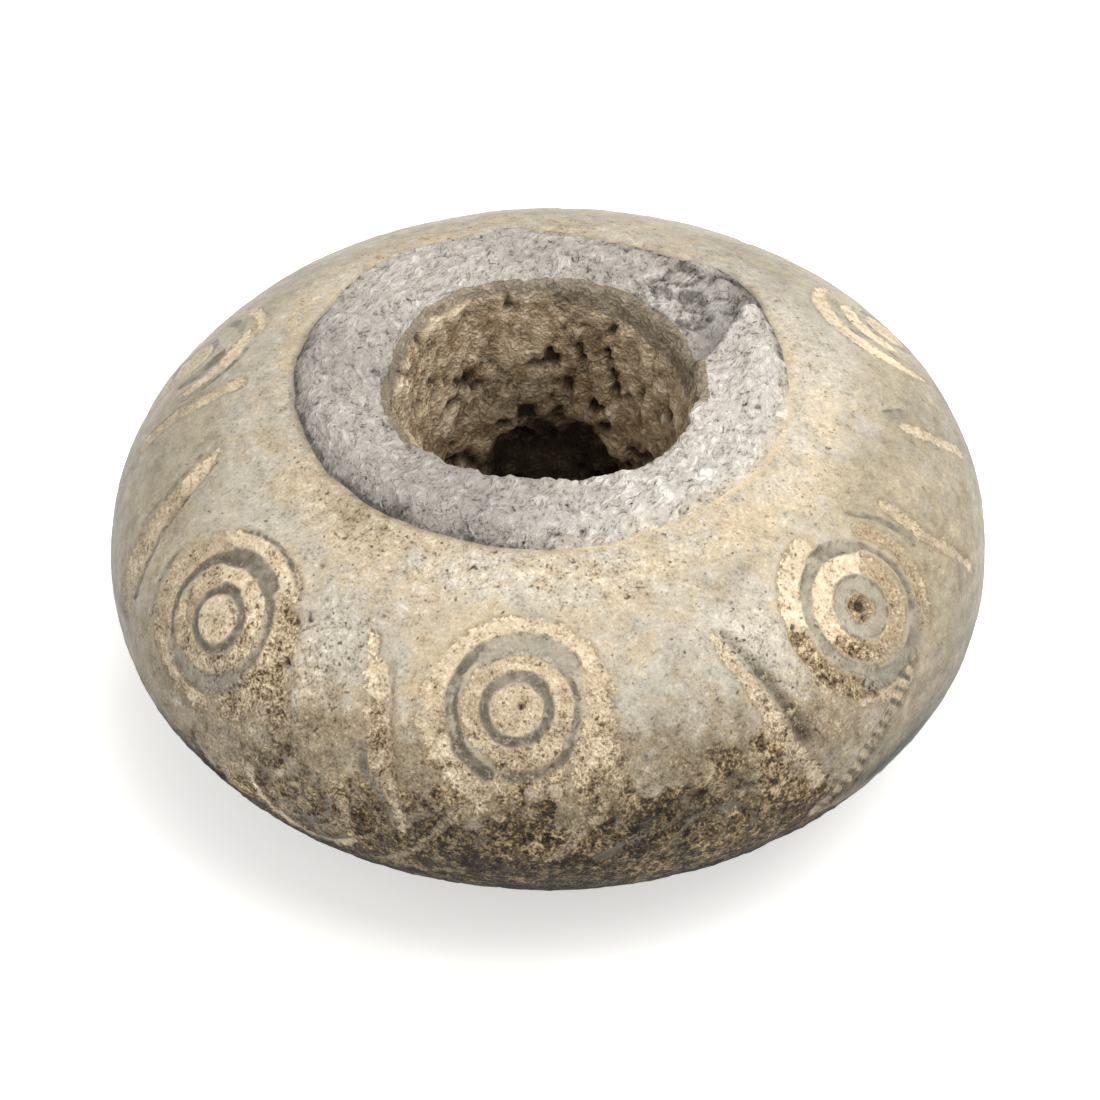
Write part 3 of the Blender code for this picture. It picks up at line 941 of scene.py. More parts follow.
@dataclass(frozen=True)
class WornRing:
    """The rough ring round the mouth, where the skin is worn away."""

    form: LensForm
    edge_radius: float = 8.2
    mouth_radius: float = 5.1
    shoulder: float = 0.45
    rounding: float = 0.4
    step_rows: int = 6
    top_rows: int = 26
    rim_rows: int = 4
    rolls: Stations = (
        (-165, 0.1), (-130, 0.12), (-112, 0.36), (-60, 0.38), (-25, 0.18), (15, 0.1), (60, 0.14),
        (100, 0.3), (118, 0.34), (130, 0.1),
    )
    bony_middle: float = 10.0
    bony_half: float = 68.0
    grain_turn: float = 82.0
    hollow_azimuth: float = 140.0
    hollow_half: float = 16.0
    lean_azimuth: float = 113.0
    lean_half: float = 36.0
    lean: float = 3.6
    lean_power: float = 1.6
    edge_rag: float = 0.06
    mouth_rag: float = 0.1
    rim_share: float = 0.2
    fibre_length: float = 0.6
    thread_length: float = 0.34
    rough_height: float = 0.06
    fibre_height: float = 0.07
    pore_depth: float = 0.12
    sink: float = 0.06
    edge_sink: float = 0.05
    curl: float = 0.4
    stretch: float = 1.9
    flank_share: float = 0.13
    # Painted shade on the ring's outer flank, strongest where its edge is soiled.
    flank_painted_shade: float = 0.3
    edge_share: float = 0.05
    edge_shifts: Stations = (
        (-171, 1.5), (-160, 1.3), (-147, 1.5), (-135, 1.1), (-122, 0.65), (-105, 0.55), (-92, 0.3),
        (-75, 0.1), (-50, 0.0), (-25, -0.15), (0, -0.1), (36, -0.2), (60, -0.05), (98, 0.05),
        (111, 0.25), (121, 0.55), (137, 0.95), (150, 0.35), (163, 0.35), (178, 0.9),
    )
    rises: Stations = (
        (-175, 0.08), (-145, 0.02), (-126, -0.02), (-118, 0.44), (-90, 0.5), (-45, 0.54),
        (-10, 0.42), (25, 0.18), (55, 0.12), (88, 0.24), (106, 0.4), (119, 0.5), (123.5, -0.7),
        (130, -0.95), (143, -0.75), (156, -0.3), (170, 0.02),
    )
    mouth_shifts: Stations = (
        (-165, 0.3), (-148, 0.32), (-125, 0.1), (-100, -0.07), (-75, -0.05), (-45, -0.1),
        (-25, -0.22), (0, -0.26), (20, -0.15), (35, 0.08), (60, 0.07), (90, -0.02), (108, 0.1),
        (126, 0.45), (142, 0.5), (158, 0.28), (175, 0.08),
    )
    # Painted light round the ring: lighter on the right where the light falls, darker on the left, with
    # a lit nose and a dark crease at the broken end.
    painted_shades: Stations = (
        (-165, 1.0), (-135, 1.05), (-118, 0.88), (-100, 0.8), (-75, 0.92), (-45, 0.8), (-15, 0.78),
        (15, 1.12), (45, 1.2), (75, 1.24), (105, 1.16), (119, 1.2), (123, 0.6), (129, 0.66),
        (138, 0.84), (160, 0.82), (172, 0.86),
    )
    fades: Stations = (
        (-175, 0.5), (-140, 0.5), (-110, 0.1), (-40, 0.2), (0, 0.5), (25, 0.9), (60, 1.1),
        (90, 0.8), (105, 0.2), (130, 0.0), (155, 0.4),
    )
    # How dark the ring's edge is: soil, and painted shade in the crevice at its step.
    edge_soil_and_shade: Stations = (
        (-175, 0.3), (-140, 0.3), (-118, 0.9), (-60, 1.0), (-20, 0.7), (10, 0.3), (35, 0.0),
        (85, 0.0), (97, 0.5), (119, 1.0), (135, 0.6), (160, 0.3),
    )
    wear: Grain = Grain(41)
    fibre: Grain = Grain(43)

    def edge(self, azimuth: Values) -> Values:
        """Radius of the ring's outer edge."""
        ragged = self.edge_rag * self.wear.layers(on_circle(azimuth, 8.0), 1.3, 3)
        return self.edge_radius + around(azimuth, self.edge_shifts) + ragged

    def mouth(self, azimuth: Values) -> Values:
        """Radius of the bore's mouth."""
        ragged = self.mouth_rag * self.fibre.layers(on_circle(azimuth, 5.4), 1.5, 4, 0.75)
        return self.mouth_radius + around(azimuth, self.mouth_shifts) + ragged

    def rim_rise(self, azimuth: Values) -> Values:
        """Rise of the ring where it turns down into the bore.

        Args:
            azimuth: Azimuth of each column.

        Returns:
            Height above the widest line.
        """
        crest = self.mouth(azimuth) + self.rounding
        lift = self.lift(azimuth, crest)
        lift = np.where(lift > 0, self.rim_share * lift, lift)
        return self.form.skin_rise(crest) + lift - around(azimuth, self.rolls)

    def strip(self, azimuth: Values) -> Strip:
        """Rows up the shoulder, over the worn top and round the rim.

        Args:
            azimuth: Azimuth of each column.

        Returns:
            The strip of rows.
        """
        edge, crest = self.edge(azimuth), self.mouth(azimuth) + self.rounding
        shares = np.arange(self.step_rows) / self.step_rows * self.shoulder
        below = edge - shares[:, None]
        inner = below[-1] - self.shoulder / self.step_rows
        shares = np.arange(self.top_rows)[:, None] / self.top_rows
        radius = np.concatenate([below, inner + (crest - inner) * shares])
        across = (edge - radius) / (edge - crest)
        swell = smooth(-0.04, 0.26, across) * (1.0 - 0.8 * smooth(0.2, 1.0, across))
        lift = self.lift(azimuth, radius)
        lift = np.where(lift > 0, lift * swell, lift * smooth(0.0, 0.35, across))
        roll = around(azimuth, self.rolls) * smooth(0.35, 1.0, across)
        rise = self.form.skin_rise(radius) + lift - roll
        return Strip(azimuth, radius, rise, across)

    def leant(self, azimuth: Values, radius: Values) -> Values:
        """Azimuth that follows the broken end as it leans across the ring.

        Args:
            azimuth: Azimuth of each point.
            radius: Radius of each point.

        Returns:
            Azimuth in degrees.
        """
        near = bell(turned(azimuth, self.lean_azimuth), self.lean_half)
        inwards = np.maximum(self.edge_radius - radius, 0.0)
        return azimuth + near * self.lean * inwards ** self.lean_power

    def lift(self, azimuth: Values, radius: Values) -> Values:
        """Height of the ring over the skin; its broken end leans across the ring."""
        lift = around(self.leant(azimuth, radius), self.rises)
        return np.where(lift < 0, lift * (0.6 + 0.4 * smooth(8.6, 6.6, radius)), lift)

    def rim(self, azimuth: Values) -> Strip:
        """Rows that turn down from the ring into the bore.

        Args:
            azimuth: Azimuth of each column.

        Returns:
            The strip of rows.
        """
        angle = np.radians(90 * np.arange(self.rim_rows)[:, None] / self.rim_rows)
        radius = self.mouth(azimuth) + self.rounding * (1.0 - np.sin(angle))
        rise = self.rim_rise(azimuth) - self.rounding * (1.0 - np.cos(angle))
        return Strip(azimuth, radius, rise, np.ones_like(radius))

    def bony(self, azimuth: Values) -> Values:
        """True where the rim shows bare bone, and False where it shows the bore's lip."""
        return apart(azimuth, self.bony_middle) < self.bony_half

    def along_grain(self, points: Values) -> Values:
        """Points turned to the bone's grain and drawn together along it.

        Args:
            points: Places in millimetres.

        Returns:
            Places whose first axis runs along the grain.
        """
        lean = math.radians(self.grain_turn)
        along = points[..., 0] * math.cos(lean) + points[..., 1] * math.sin(lean)
        aside = points[..., 1] * math.cos(lean) - points[..., 0] * math.sin(lean)
        return np.stack([along / self.stretch, aside, points[..., 2]], axis=-1)

    def carve(self, strip: Strip) -> Values:
        """Roughens the worn bone along its grain, and lays its colours with painted light and shade.

        Args:
            strip: Rows of the ring.

        Returns:
            Height over the plain form.
        """
        rough = self.wear.layers(strip.points, 1.4, 3, 0.6)
        curls = [self.wear.wave(strip.points + 50.0 * axis, 0.9) for axis in range(3)]
        laid = self.along_grain(strip.points + self.curl * np.stack(curls, axis=-1))
        strands = np.abs(self.fibre.wave(laid, self.fibre_length))
        fibres = 2.6 * strands - 0.7 + 0.6 * self.fibre.wave(laid + 9.0, self.thread_length)
        pores = smooth(0.42, 0.85, self.wear.layers(strip.points + 17.0, 0.7, 2, 0.8))
        hollow = bell(turned(strip.azimuth, self.hollow_azimuth), self.hollow_half)
        soil = around(strip.azimuth, self.edge_soil_and_shade)
        edge = soil * bell(strip.reach, self.edge_share)
        flank = bell(strip.reach, self.flank_share)
        shade = around(self.leant(strip.azimuth, strip.radius), self.painted_shades) + 0.08 * rough
        strip.layers["fibre"] = fibres
        strip.layers["shade"] = shade * (1.0 - self.flank_painted_shade * flank * np.minimum(soil, 1.0))
        strip.layers["warmth"] = flank * around(strip.azimuth, self.fades)
        # Soil, with painted shade in the edge's crevice, the hollow's creases and the pores.
        strip.layers["soil"] = edge + 0.8 * hollow * smooth(0.3, -0.5, fibres) + 0.5 * pores
        relief = self.rough_height * rough + self.fibre_height * fibres * (1.0 + 0.5 * hollow)
        inner = 0.3 + 0.7 * smooth(0.0, 0.16, strip.reach)
        return inner * (relief - self.pore_depth * pores) - self.sink - self.edge_sink * edge


@dataclass(frozen=True)
class Spot:
    """A place on the bore's wall, with its half sizes round the wall and down it."""

    azimuth: float
    depth: float
    turn: float
    half: float

    def away(self, azimuth: Values, depth: Values) -> Values:
        """Squared distance from the spot's middle, where 1 is its edge.

        Args:
            azimuth: Azimuth of each point.
            depth: Depth of each point below the rim.

        Returns:
            The squared distance, counted in half sizes.
        """
        side = turned(azimuth, self.azimuth) / self.turn
        down = (depth - self.depth) / self.half
        return side ** 2 + down ** 2


@dataclass(frozen=True)
class SpindleBore:
    """The bore: a smooth lip, then earth in lumps, and a hollow low at the back, painted dark as shade.
    """

    form: LensForm
    foot_radius: float = 4.3
    foot_chamfer: float = 0.35
    lips: Stations = (
        (-165, 0.4), (-120, 0.24), (-60, 0.24), (0, 0.4), (60, 0.5), (95, 0.8), (130, 1.15),
        (165, 0.8),
    )
    wall_height: float = 13.2
    seen_depth: float = 9.6
    seen_rows: int = 41
    low_rows: int = 8
    cover: float = 0.06
    clod_height: float = 0.11
    clod_lengths: tuple[float, float] = (0.8, 0.42)
    pock_depth: float = 0.24
    hollow: Spot = Spot(177.0, 8.0, 27.0, 1.9)
    hollow_reach: float = 0.9
    # A patch of painted shadow on the back wall.
    painted_shadow: Spot = Spot(190.0, 5.4, 34.0, 2.4)
    painted_shadow_share: float = 0.45
    earth: Grain = Grain(53)
    pits: Grain = Grain(59)

    def strip(self, azimuth: Values, ring: WornRing) -> Strip:
        """Rows from the rim down to the foot.

        Args:
            azimuth: Azimuth of each column.
            ring: The worn ring, whose rim the bore starts from.

        Returns:
            The strip of rows, whose reach is the depth below the rim.
        """
        mouth, rim_rise = ring.mouth(azimuth), ring.rim_rise(azimuth)
        top = rim_rise - ring.rounding
        foot = self.foot_chamfer - self.form.equator
        seen_share = self.seen_depth / self.wall_height
        seen = np.linspace(0.0, seen_share, self.seen_rows, endpoint=False)
        low = np.linspace(seen_share, 1.0, self.low_rows)
        shares = np.concatenate([seen, low])[:, None]
        radius = mouth + (self.foot_radius - mouth) * shares
        rise = top + (foot - top) * shares
        return Strip(azimuth, radius, rise, rim_rise - rise)

    def carve(self, strip: Strip) -> Values:
        """Heaps the earth on the wall, pits it, and opens the hollow.

        Args:
            strip: Rows of the bore.

        Returns:
            Height over the plain wall, towards the axis.
        """
        depth = strip.reach
        below = smooth(0.7, 1.3, depth / around(strip.azimuth, self.lips))
        large, small = (np.abs(self.earth.wave(strip.points, size)) for size in self.clod_lengths)
        lumps = 2.2 * large + 1.4 * small + 0.6 * self.earth.wave(strip.points, 2.4) - 0.8
        pocks = smooth(0.3, 0.8, self.pits.layers(strip.points, 1.4, 3, 0.8) - 0.3 * lumps)
        hollow = smooth(1.9, 0.5, self.hollow.away(strip.azimuth, depth) + 0.15 * lumps)
        painted_shadow = np.exp(-self.painted_shadow.away(strip.azimuth, depth))
        strip.layers["shade"] = 1.0 - self.painted_shadow_share * painted_shadow
        strip.layers["hollow"] = hollow
        strip.layers["pocks"] = pocks * below
        strip.layers["earthy"] = below
        strip.layers["depth"] = depth
        strip.layers["lumps"] = lumps
        heaped = self.cover + self.clod_height * lumps - self.pock_depth * pocks
        return below * heaped - self.hollow_reach * hollow


@dataclass(frozen=True)
class Tint:
    """A colour as it looks in daylight, with parts from 0 to 255."""

    red: float
    green: float
    blue: float

    @property
    def linear(self) -> tuple[float, float, float, float]:
        """The colour in the renderer's linear terms.

        Returns:
            Red, green, blue and a full alpha.
        """
        parts = (part / 255 for part in (self.red, self.green, self.blue))
        red, green, blue = (((part + 0.055) / 1.055) ** 2.4 for part in parts)
        return red, green, blue, 1.0


class Graph:
    """Short calls that add and join the nodes of one material."""

    def __init__(self, name: str) -> None:
        """Starts a material that holds a bare shader.

        Args:
            name: Name of the material.
        """
        self.material = bpy.data.materials.new(name)
        self.material.use_nodes = True
        self.nodes = self.material.node_tree.nodes
        self.links = self.material.node_tree.links
        self.shader = self.nodes["Principled BSDF"]

    def feed(self, socket: Socket, value: object) -> None:
        """Joins a socket to another one, or sets its own value.

        Args:
            socket: Socket to feed.
            value: A socket, a number, a colour or a vector.
        """
        if isinstance(value, Socket):
            self.links.new(value, socket)
        elif isinstance(value, Tint):
            socket.default_value = value.linear
        else:
            socket.default_value = value

    def fill(self, node: bpy.types.Node, inputs: Inputs) -> None:
        """Feeds inputs of a node, by name or number."""
        for name, value in inputs.items():
            self.feed(node.inputs[name], value)

    def add(self, kind: str, inputs: Inputs, **options: str) -> bpy.types.Node:
        """Adds a node.

        Args:
            kind: Type of the node, without the prefix that all types share.
            inputs: Values for its inputs, by name or number.
            options: Settings of the node.

        Returns:
            The node.
        """
        node = self.nodes.new("ShaderNode" + kind)
        for option, value in options.items():
            setattr(node, option, value)
        self.fill(node, inputs)
        return node

    def layer(self, name: str) -> Socket:
        """A value that the mesh holds at each point."""
        return self.add("Attribute", {}, attribute_name=name).outputs["Fac"]

    def place(self, turn: float = 0.0, stretch: float = 1.0, spread: float = 1.0) -> Socket:
        """Place on the object in millimetres.

        Args:
            turn: Turn about the axis, in degrees.
            stretch: How many times longer than high the grain is along the first axis.
            spread: How many times longer than high it is along the second axis.

        Returns:
            A vector socket.
        """
        where = self.add("TexCoord", {}).outputs["Object"]
        inputs = {"Vector": where, "Angle": -math.radians(turn)}
        rotated = self.add("VectorRotate", inputs, rotation_type="Z_AXIS").outputs[0]
        size = (1 / MM / stretch, 1 / MM / spread, 1 / MM)
        return self.add("VectorMath", {0: rotated, 1: size}, operation="MULTIPLY").outputs[0]

    def noise(self, where: Socket, length: float, detail: float, gain: float = 0.6,
              bend: float = 0.0) -> Socket:
        """Random relief from about -1 to 1.

        Args:
            where: Place in millimetres.
            length: Longest wavelength in millimetres.
            detail: Number of finer layers.
            gain: Strength of each finer layer.
            bend: How far the relief bends itself.

        Returns:
            A value socket.
        """
        node = self.add("TexNoise", {
            "Vector": where, "Scale": 1 / length, "Detail": detail, "Roughness": gain,
            "Distortion": bend,
        })
        return self.total(-2.0, (node.outputs[0], 4.0))

    def math(self, operation: str, *values: object) -> Socket:
        """One step of arithmetic with sockets or numbers."""
        return self.add("Math", dict(enumerate(values)), operation=operation).outputs[0]

    def times(self, first: object, second: object) -> Socket:
        """Product of two values."""
        return self.math("MULTIPLY", first, second)

    def total(self, base: object, *parts: tuple[Socket, object]) -> Socket:
        """A base with weighted parts added to it.

        Args:
            base: Socket or number to start from.
            parts: Pairs of a socket and its weight.

        Returns:
            A value socket.
        """
        for value, weight in parts:
            base = self.math("MULTIPLY_ADD", value, weight, base)
        return base

    def ease(self, value: object, low: float, high: float, start: float = 0.0,
             end: float = 1.0) -> Socket:
        """Smooth step of a value, from the start at its low to the end at its high."""
        inputs = dict(enumerate((value, low, high, start, end)))
        return self.add("MapRange", inputs, interpolation_type="SMOOTHSTEP").outputs[0]

    def mix(self, first: object, second: object, share: object) -> Socket:
        """Mix of two colours, with this share of the second."""
        # A mix node holds its colours in inputs 6 and 7 and in output 2.
        return self.add("Mix", {0: share, 6: first, 7: second}, data_type="RGBA").outputs[2]

    def shade(self, colour: object, factor: object) -> Socket:
        """Colour made lighter or darker by a factor."""
        return self.add("VectorMath", {0: colour, "Scale": factor}, operation="SCALE").outputs[0]

    def finish(self, colour: object, roughness: object, height: object,
               gloss: float) -> bpy.types.Material:
        """Joins colour, roughness and relief to the shader.

        Args:
            colour: Base colour.
            roughness: Roughness.
            height: Relief in millimetres.
            gloss: Specular level.

        Returns:
            The finished material.
        """
        bump = self.add("Bump", {"Distance": MM, "Height": height})
        self.fill(self.shader, {
            "Base Color": colour, "Roughness": roughness, "Normal": bump.outputs[0],
            "Specular IOR Level": gloss,
        })
        return self.material


@dataclass(frozen=True)
class Palette:
    """Colours of the sunken, the level and the raised grains of one kind of surface."""

    sunken: Tint
    level: Tint
    raised: Tint


class Grained:
    """Colours of the three heights of grain while kinds of surface are laid over each other."""

    height: float = 1.7
    overlap: float = 0.1

    def __init__(self, graph: Graph, ground: Palette) -> None:
        """Starts with one kind of surface everywhere.

        Args:
            graph: The material's nodes.
            ground: Its colours.
        """
        self.graph = graph
        self.colours: list[object] = [ground.sunken, ground.level, ground.raised]

    def lay(self, palette: Palette, share: object) -> None:
        """Lays a kind of surface in these colours over the last, as far as its share says."""
        above = (palette.sunken, palette.level, palette.raised)
        self.colours = [self.graph.mix(old, new, share) for old, new in zip(self.colours, above)]

    def colour(self, grain: Socket) -> Socket:
        """Final colour for the height of the grain.

        Args:
            grain: Height from about -1 to 1.

        Returns:
            A colour socket.
        """
        # The sunken grains take darker colours and the raised ones lighter: partly earth and bone,
        # partly painted shade in the hollows and a painted highlight on the crests.
        sunken, level, raised = self.colours
        risen = self.graph.ease(grain, -self.height, self.overlap)
        low = self.graph.mix(sunken, level, risen)
        return self.graph.mix(low, raised, self.graph.ease(grain, -self.overlap, self.height))


class SkinGrain:
    """Grain, mottle and blotches that all kinds of surface on the skin share."""

    def __init__(self, graph: Graph) -> None:
        """Adds the nodes.

        Args:
            graph: The material's nodes.
        """
        self.where = graph.place()
        self.coarse, self.middle, self.fine = (
            graph.noise(self.where, length, 1.0, 0.8) for length in (0.55, 0.24, 0.1)
        )
        self.clouds = graph.noise(self.where, 0.9, 4.0, 0.8)
        self.blotch = graph.noise(self.where, 1.0, 4.0, 0.75)
        self.mottle = graph.noise(self.where, 2.6, 5.0, 0.72)
        self.patchy = graph.total(graph.layer("grit"), (self.mottle, 0.35))
        whole = graph.total(0.0, (self.middle, 0.5), (self.coarse, 0.4), (self.fine, 0.6))
        self.whole = graph.times(whole, graph.ease(self.patchy, 0.0, 1.0, 0.75, 1.45))


@dataclass(frozen=True)
class SkinFinish:
    """Worn bone skin, with earth packed in the cuts and a dark crust low on the front."""

    cool: Palette = Palette(Tint(120, 107, 88), Tint(193, 184, 167), Tint(228, 221, 209))
    buff: Palette = Palette(Tint(128, 104, 72), Tint(198, 180, 150), Tint(234, 222, 198))
    soiled: Palette = Palette(Tint(70, 52, 30), Tint(150, 133, 104), Tint(212, 197, 166))
    olive: Palette = Palette(Tint(104, 92, 68), Tint(166, 155, 130), Tint(200, 190, 166))
    specks: Palette = Palette(Tint(40, 27, 15), Tint(98, 75, 48), Tint(150, 124, 90))
    crust: Palette = Palette(Tint(17, 11, 6), Tint(88, 68, 43), Tint(180, 158, 120))
    crumbs: Palette = Palette(Tint(50, 33, 16), Tint(150, 123, 84), Tint(222, 200, 158))
    slate: Palette = Palette(Tint(50, 46, 40), Tint(106, 99, 87), Tint(156, 148, 133))
    earth: Palette = Palette(Tint(112, 82, 48), Tint(216, 196, 164), Tint(250, 238, 214))
    gritty: Palette = Palette(Tint(40, 28, 16), Tint(148, 126, 94), Tint(224, 204, 168))
    pale_wall: Palette = Palette(Tint(88, 79, 64), Tint(170, 161, 143), Tint(216, 208, 192))
    dark_wall_and_shade: Palette = Palette(Tint(32, 26, 20), Tint(94, 86, 72), Tint(160, 150, 131))
    hole: Palette = Palette(Tint(14, 10, 7), Tint(34, 25, 17), Tint(66, 50, 36))
    roughness: float = 0.62
    gloss: float = 0.35

    def build(self) -> bpy.types.Material:
        """Builds the material.

        Returns:
            The material.
        """
        graph = Graph("weathered_bone")
        grain = SkinGrain(graph)
        skin = Grained(graph, self.cool)
        self.lay_soil(skin, grain)
        crumbly = self.lay_carving(skin, grain)
        self.lay_specks(skin, grain, crumbly)
        cover = self.lay_crust(skin, grain)
        loose = graph.math("MAXIMUM", crumbly, cover)
        heaped = graph.times(graph.layer("lumps"), cover)
        height = graph.total(graph.times(grain.whole, graph.total(1.0, (loose, 0.95))), (heaped, 0.5))
        colour = graph.shade(skin.colour(height), self.lightness(graph, grain))
        roughness = graph.total(
            self.roughness, (graph.layer("polish"), -0.16), (cover, 0.22), (grain.middle, 0.05),
        )
        relief = graph.total(0.0, (grain.fine, 0.003), (grain.middle, 0.006))
        relief = graph.times(relief, graph.ease(grain.patchy, 0.0, 1.0, 0.45, 1.3))
        relief = graph.total(relief, (height, graph.times(loose, 0.014)))
        return graph.finish(colour, roughness, relief, self.gloss)

    def lightness(self, graph: Graph, grain: SkinGrain) -> Socket:
        """How light the skin is, from its shade layer with painted light and shade, and faint streaks
        where it is polished.

        Args:
            graph: The material's nodes.
            grain: The skin's grain.

        Returns:
            A factor for the colour.
        """
        streaks = graph.noise(graph.place(spread=2.4, stretch=2.4), 0.7, 3.0, 0.8)
        streaks = graph.times(streaks, graph.layer("polish"))
        return graph.total(
            graph.layer("shade"), (grain.mottle, 0.12), (streaks, 0.2), (grain.coarse, 0.05),
            (grain.middle, 0.03), (grain.fine, 0.03),
        )

    def lay_soil(self, skin: Grained, grain: SkinGrain) -> None:
        """Lays the buff, the drab and the soiled parts of the skin; the soiled colour also paints shade
        under the belly.

        Args:
            skin: Surface to lay them on.
            grain: The skin's grain.
        """
        graph = skin.graph
        warm = graph.total(graph.layer("warmth"), (grain.blotch, 0.9), (grain.middle, 0.25))
        skin.lay(self.buff, graph.ease(warm, -0.65, 0.7))
        drab = graph.total(graph.layer("polish"), (grain.mottle, 0.9))
        skin.lay(self.olive, graph.ease(drab, 0.1, 1.5, 0.0, 0.8))
        dirt = graph.total(graph.layer("dirt"), (grain.clouds, 0.5), (grain.middle, 0.16))
        skin.lay(self.soiled, graph.ease(dirt, 0.1, 1.0))

    def lay_specks(self, skin: Grained, grain: SkinGrain, crumbly: Socket) -> None:
        """Lays small brown specks where the skin is gritty.

        Args:
            skin: Surface to lay them on.
            grain: The skin's grain.
            crumbly: How crumbly the earth in the cuts is.
        """
        graph = skin.graph
        gritty = graph.total(grain.patchy, (crumbly, 0.5))
        for length, low, share in ((0.26, 0.9, 0.8), (0.13, 0.86, 0.7)):
            dots = graph.total(graph.noise(grain.where, length, 1.0, 0.7), (gritty, 0.4))
            skin.lay(self.specks, graph.ease(dots, low, low + 0.35, 0.0, share))

    def lay_carving(self, skin: Grained, grain: SkinGrain) -> Socket:
        """Lays the packed earth, the bared walls, the cuts and the holes.

        Args:
            skin: Surface to lay them on.
            grain: The skin's grain.

        Returns:
            How crumbly the earth in them is.
        """
        graph = skin.graph
        broken = graph.ease(grain.coarse, -0.6, 0.6)
        # Packed earth, with a gritty border.
        inside = graph.total(graph.layer("fill"), (grain.whole, 0.13))
        border = graph.ease(graph.math("ABSOLUTE", graph.math("ADD", inside, 0.06)), 0.16, 0.0)
        skin.lay(self.gritty, graph.times(border, broken))
        filled = graph.ease(inside, -0.08, 0.08)
        skin.lay(self.earth, filled)
        level = graph.total(graph.layer("fill_tone"), (grain.middle, 0.3))
        gritty = graph.times(filled, graph.ease(level, 0.1, 1.05))
        skin.lay(self.gritty, gritty)
        # Bared walls, with a broken dark outline that paints the shadow at their step.
        inside = graph.total(graph.layer("wall"), (grain.whole, 0.09))
        bared = graph.ease(inside, -0.06, 0.06)
        skin.lay(self.pale_wall, graph.times(bared, 0.9))
        tone = graph.total(graph.layer("wall_tone"), (grain.coarse, 0.42), (grain.whole, 0.25))
        skin.lay(self.dark_wall_and_shade, graph.times(bared, graph.ease(tone, 0.0, 1.15)))
        line = graph.ease(graph.math("ABSOLUTE", inside), 0.075, 0.0, 0.0, 0.7)
        skin.lay(self.dark_wall_and_shade, graph.times(line, broken))
        # Open cuts and holes: the cuts take dark grit and painted shade, the holes dark soil and
        # painted shadow.
        inside = graph.total(graph.layer("cut"), (grain.whole, 0.15), (grain.coarse, 0.1))
        sunk_shade = graph.times(graph.ease(inside, -0.1, 0.18), graph.layer("cut_tone"))
        skin.lay(self.dark_wall_and_shade, graph.times(sunk_shade, 0.9))
        skin.lay(self.gritty, graph.times(sunk_shade, graph.ease(grain.coarse, 0.0, 0.9)))
        hole = graph.total(graph.layer("pit"), (grain.whole, 0.05))
        skin.lay(self.hole, graph.times(graph.ease(hole, -0.05, 0.06), graph.layer("pit_tone")))
        return graph.math("MAXIMUM", graph.total(0.0, (gritty, 0.75), (filled, 0.35)), sunk_shade)

    def lay_crust(self, skin: Grained, grain: SkinGrain) -> Socket:
        """Lays the crust with its crumbs of buff earth and its slaty patches.

        Args:
            skin: Surface to lay it on.
            grain: The skin's grain.

        Returns:
            Cover of the crust.
        """
        graph = skin.graph
        torn = graph.total(graph.layer("crust"), (grain.clouds, 0.6), (grain.middle, 0.18))
        cover = graph.ease(torn, 0.25, 0.95)
        skin.lay(self.crust, cover)
        mosaic = graph.noise(grain.where, 1.7, 5.0, 0.78)
        crumbs = graph.total(graph.layer("crumbs"), (mosaic, 1.4), (grain.middle, 0.3))
        skin.lay(self.crumbs, graph.times(cover, graph.ease(crumbs, -0.1, 0.9)))
        bare = graph.total(0.0, (grain.middle, 0.2), (grain.blotch, 0.9))
        skin.lay(self.slate, graph.times(cover, graph.ease(bare, -0.25, -0.9, 0.0, 0.7)))
        return cover


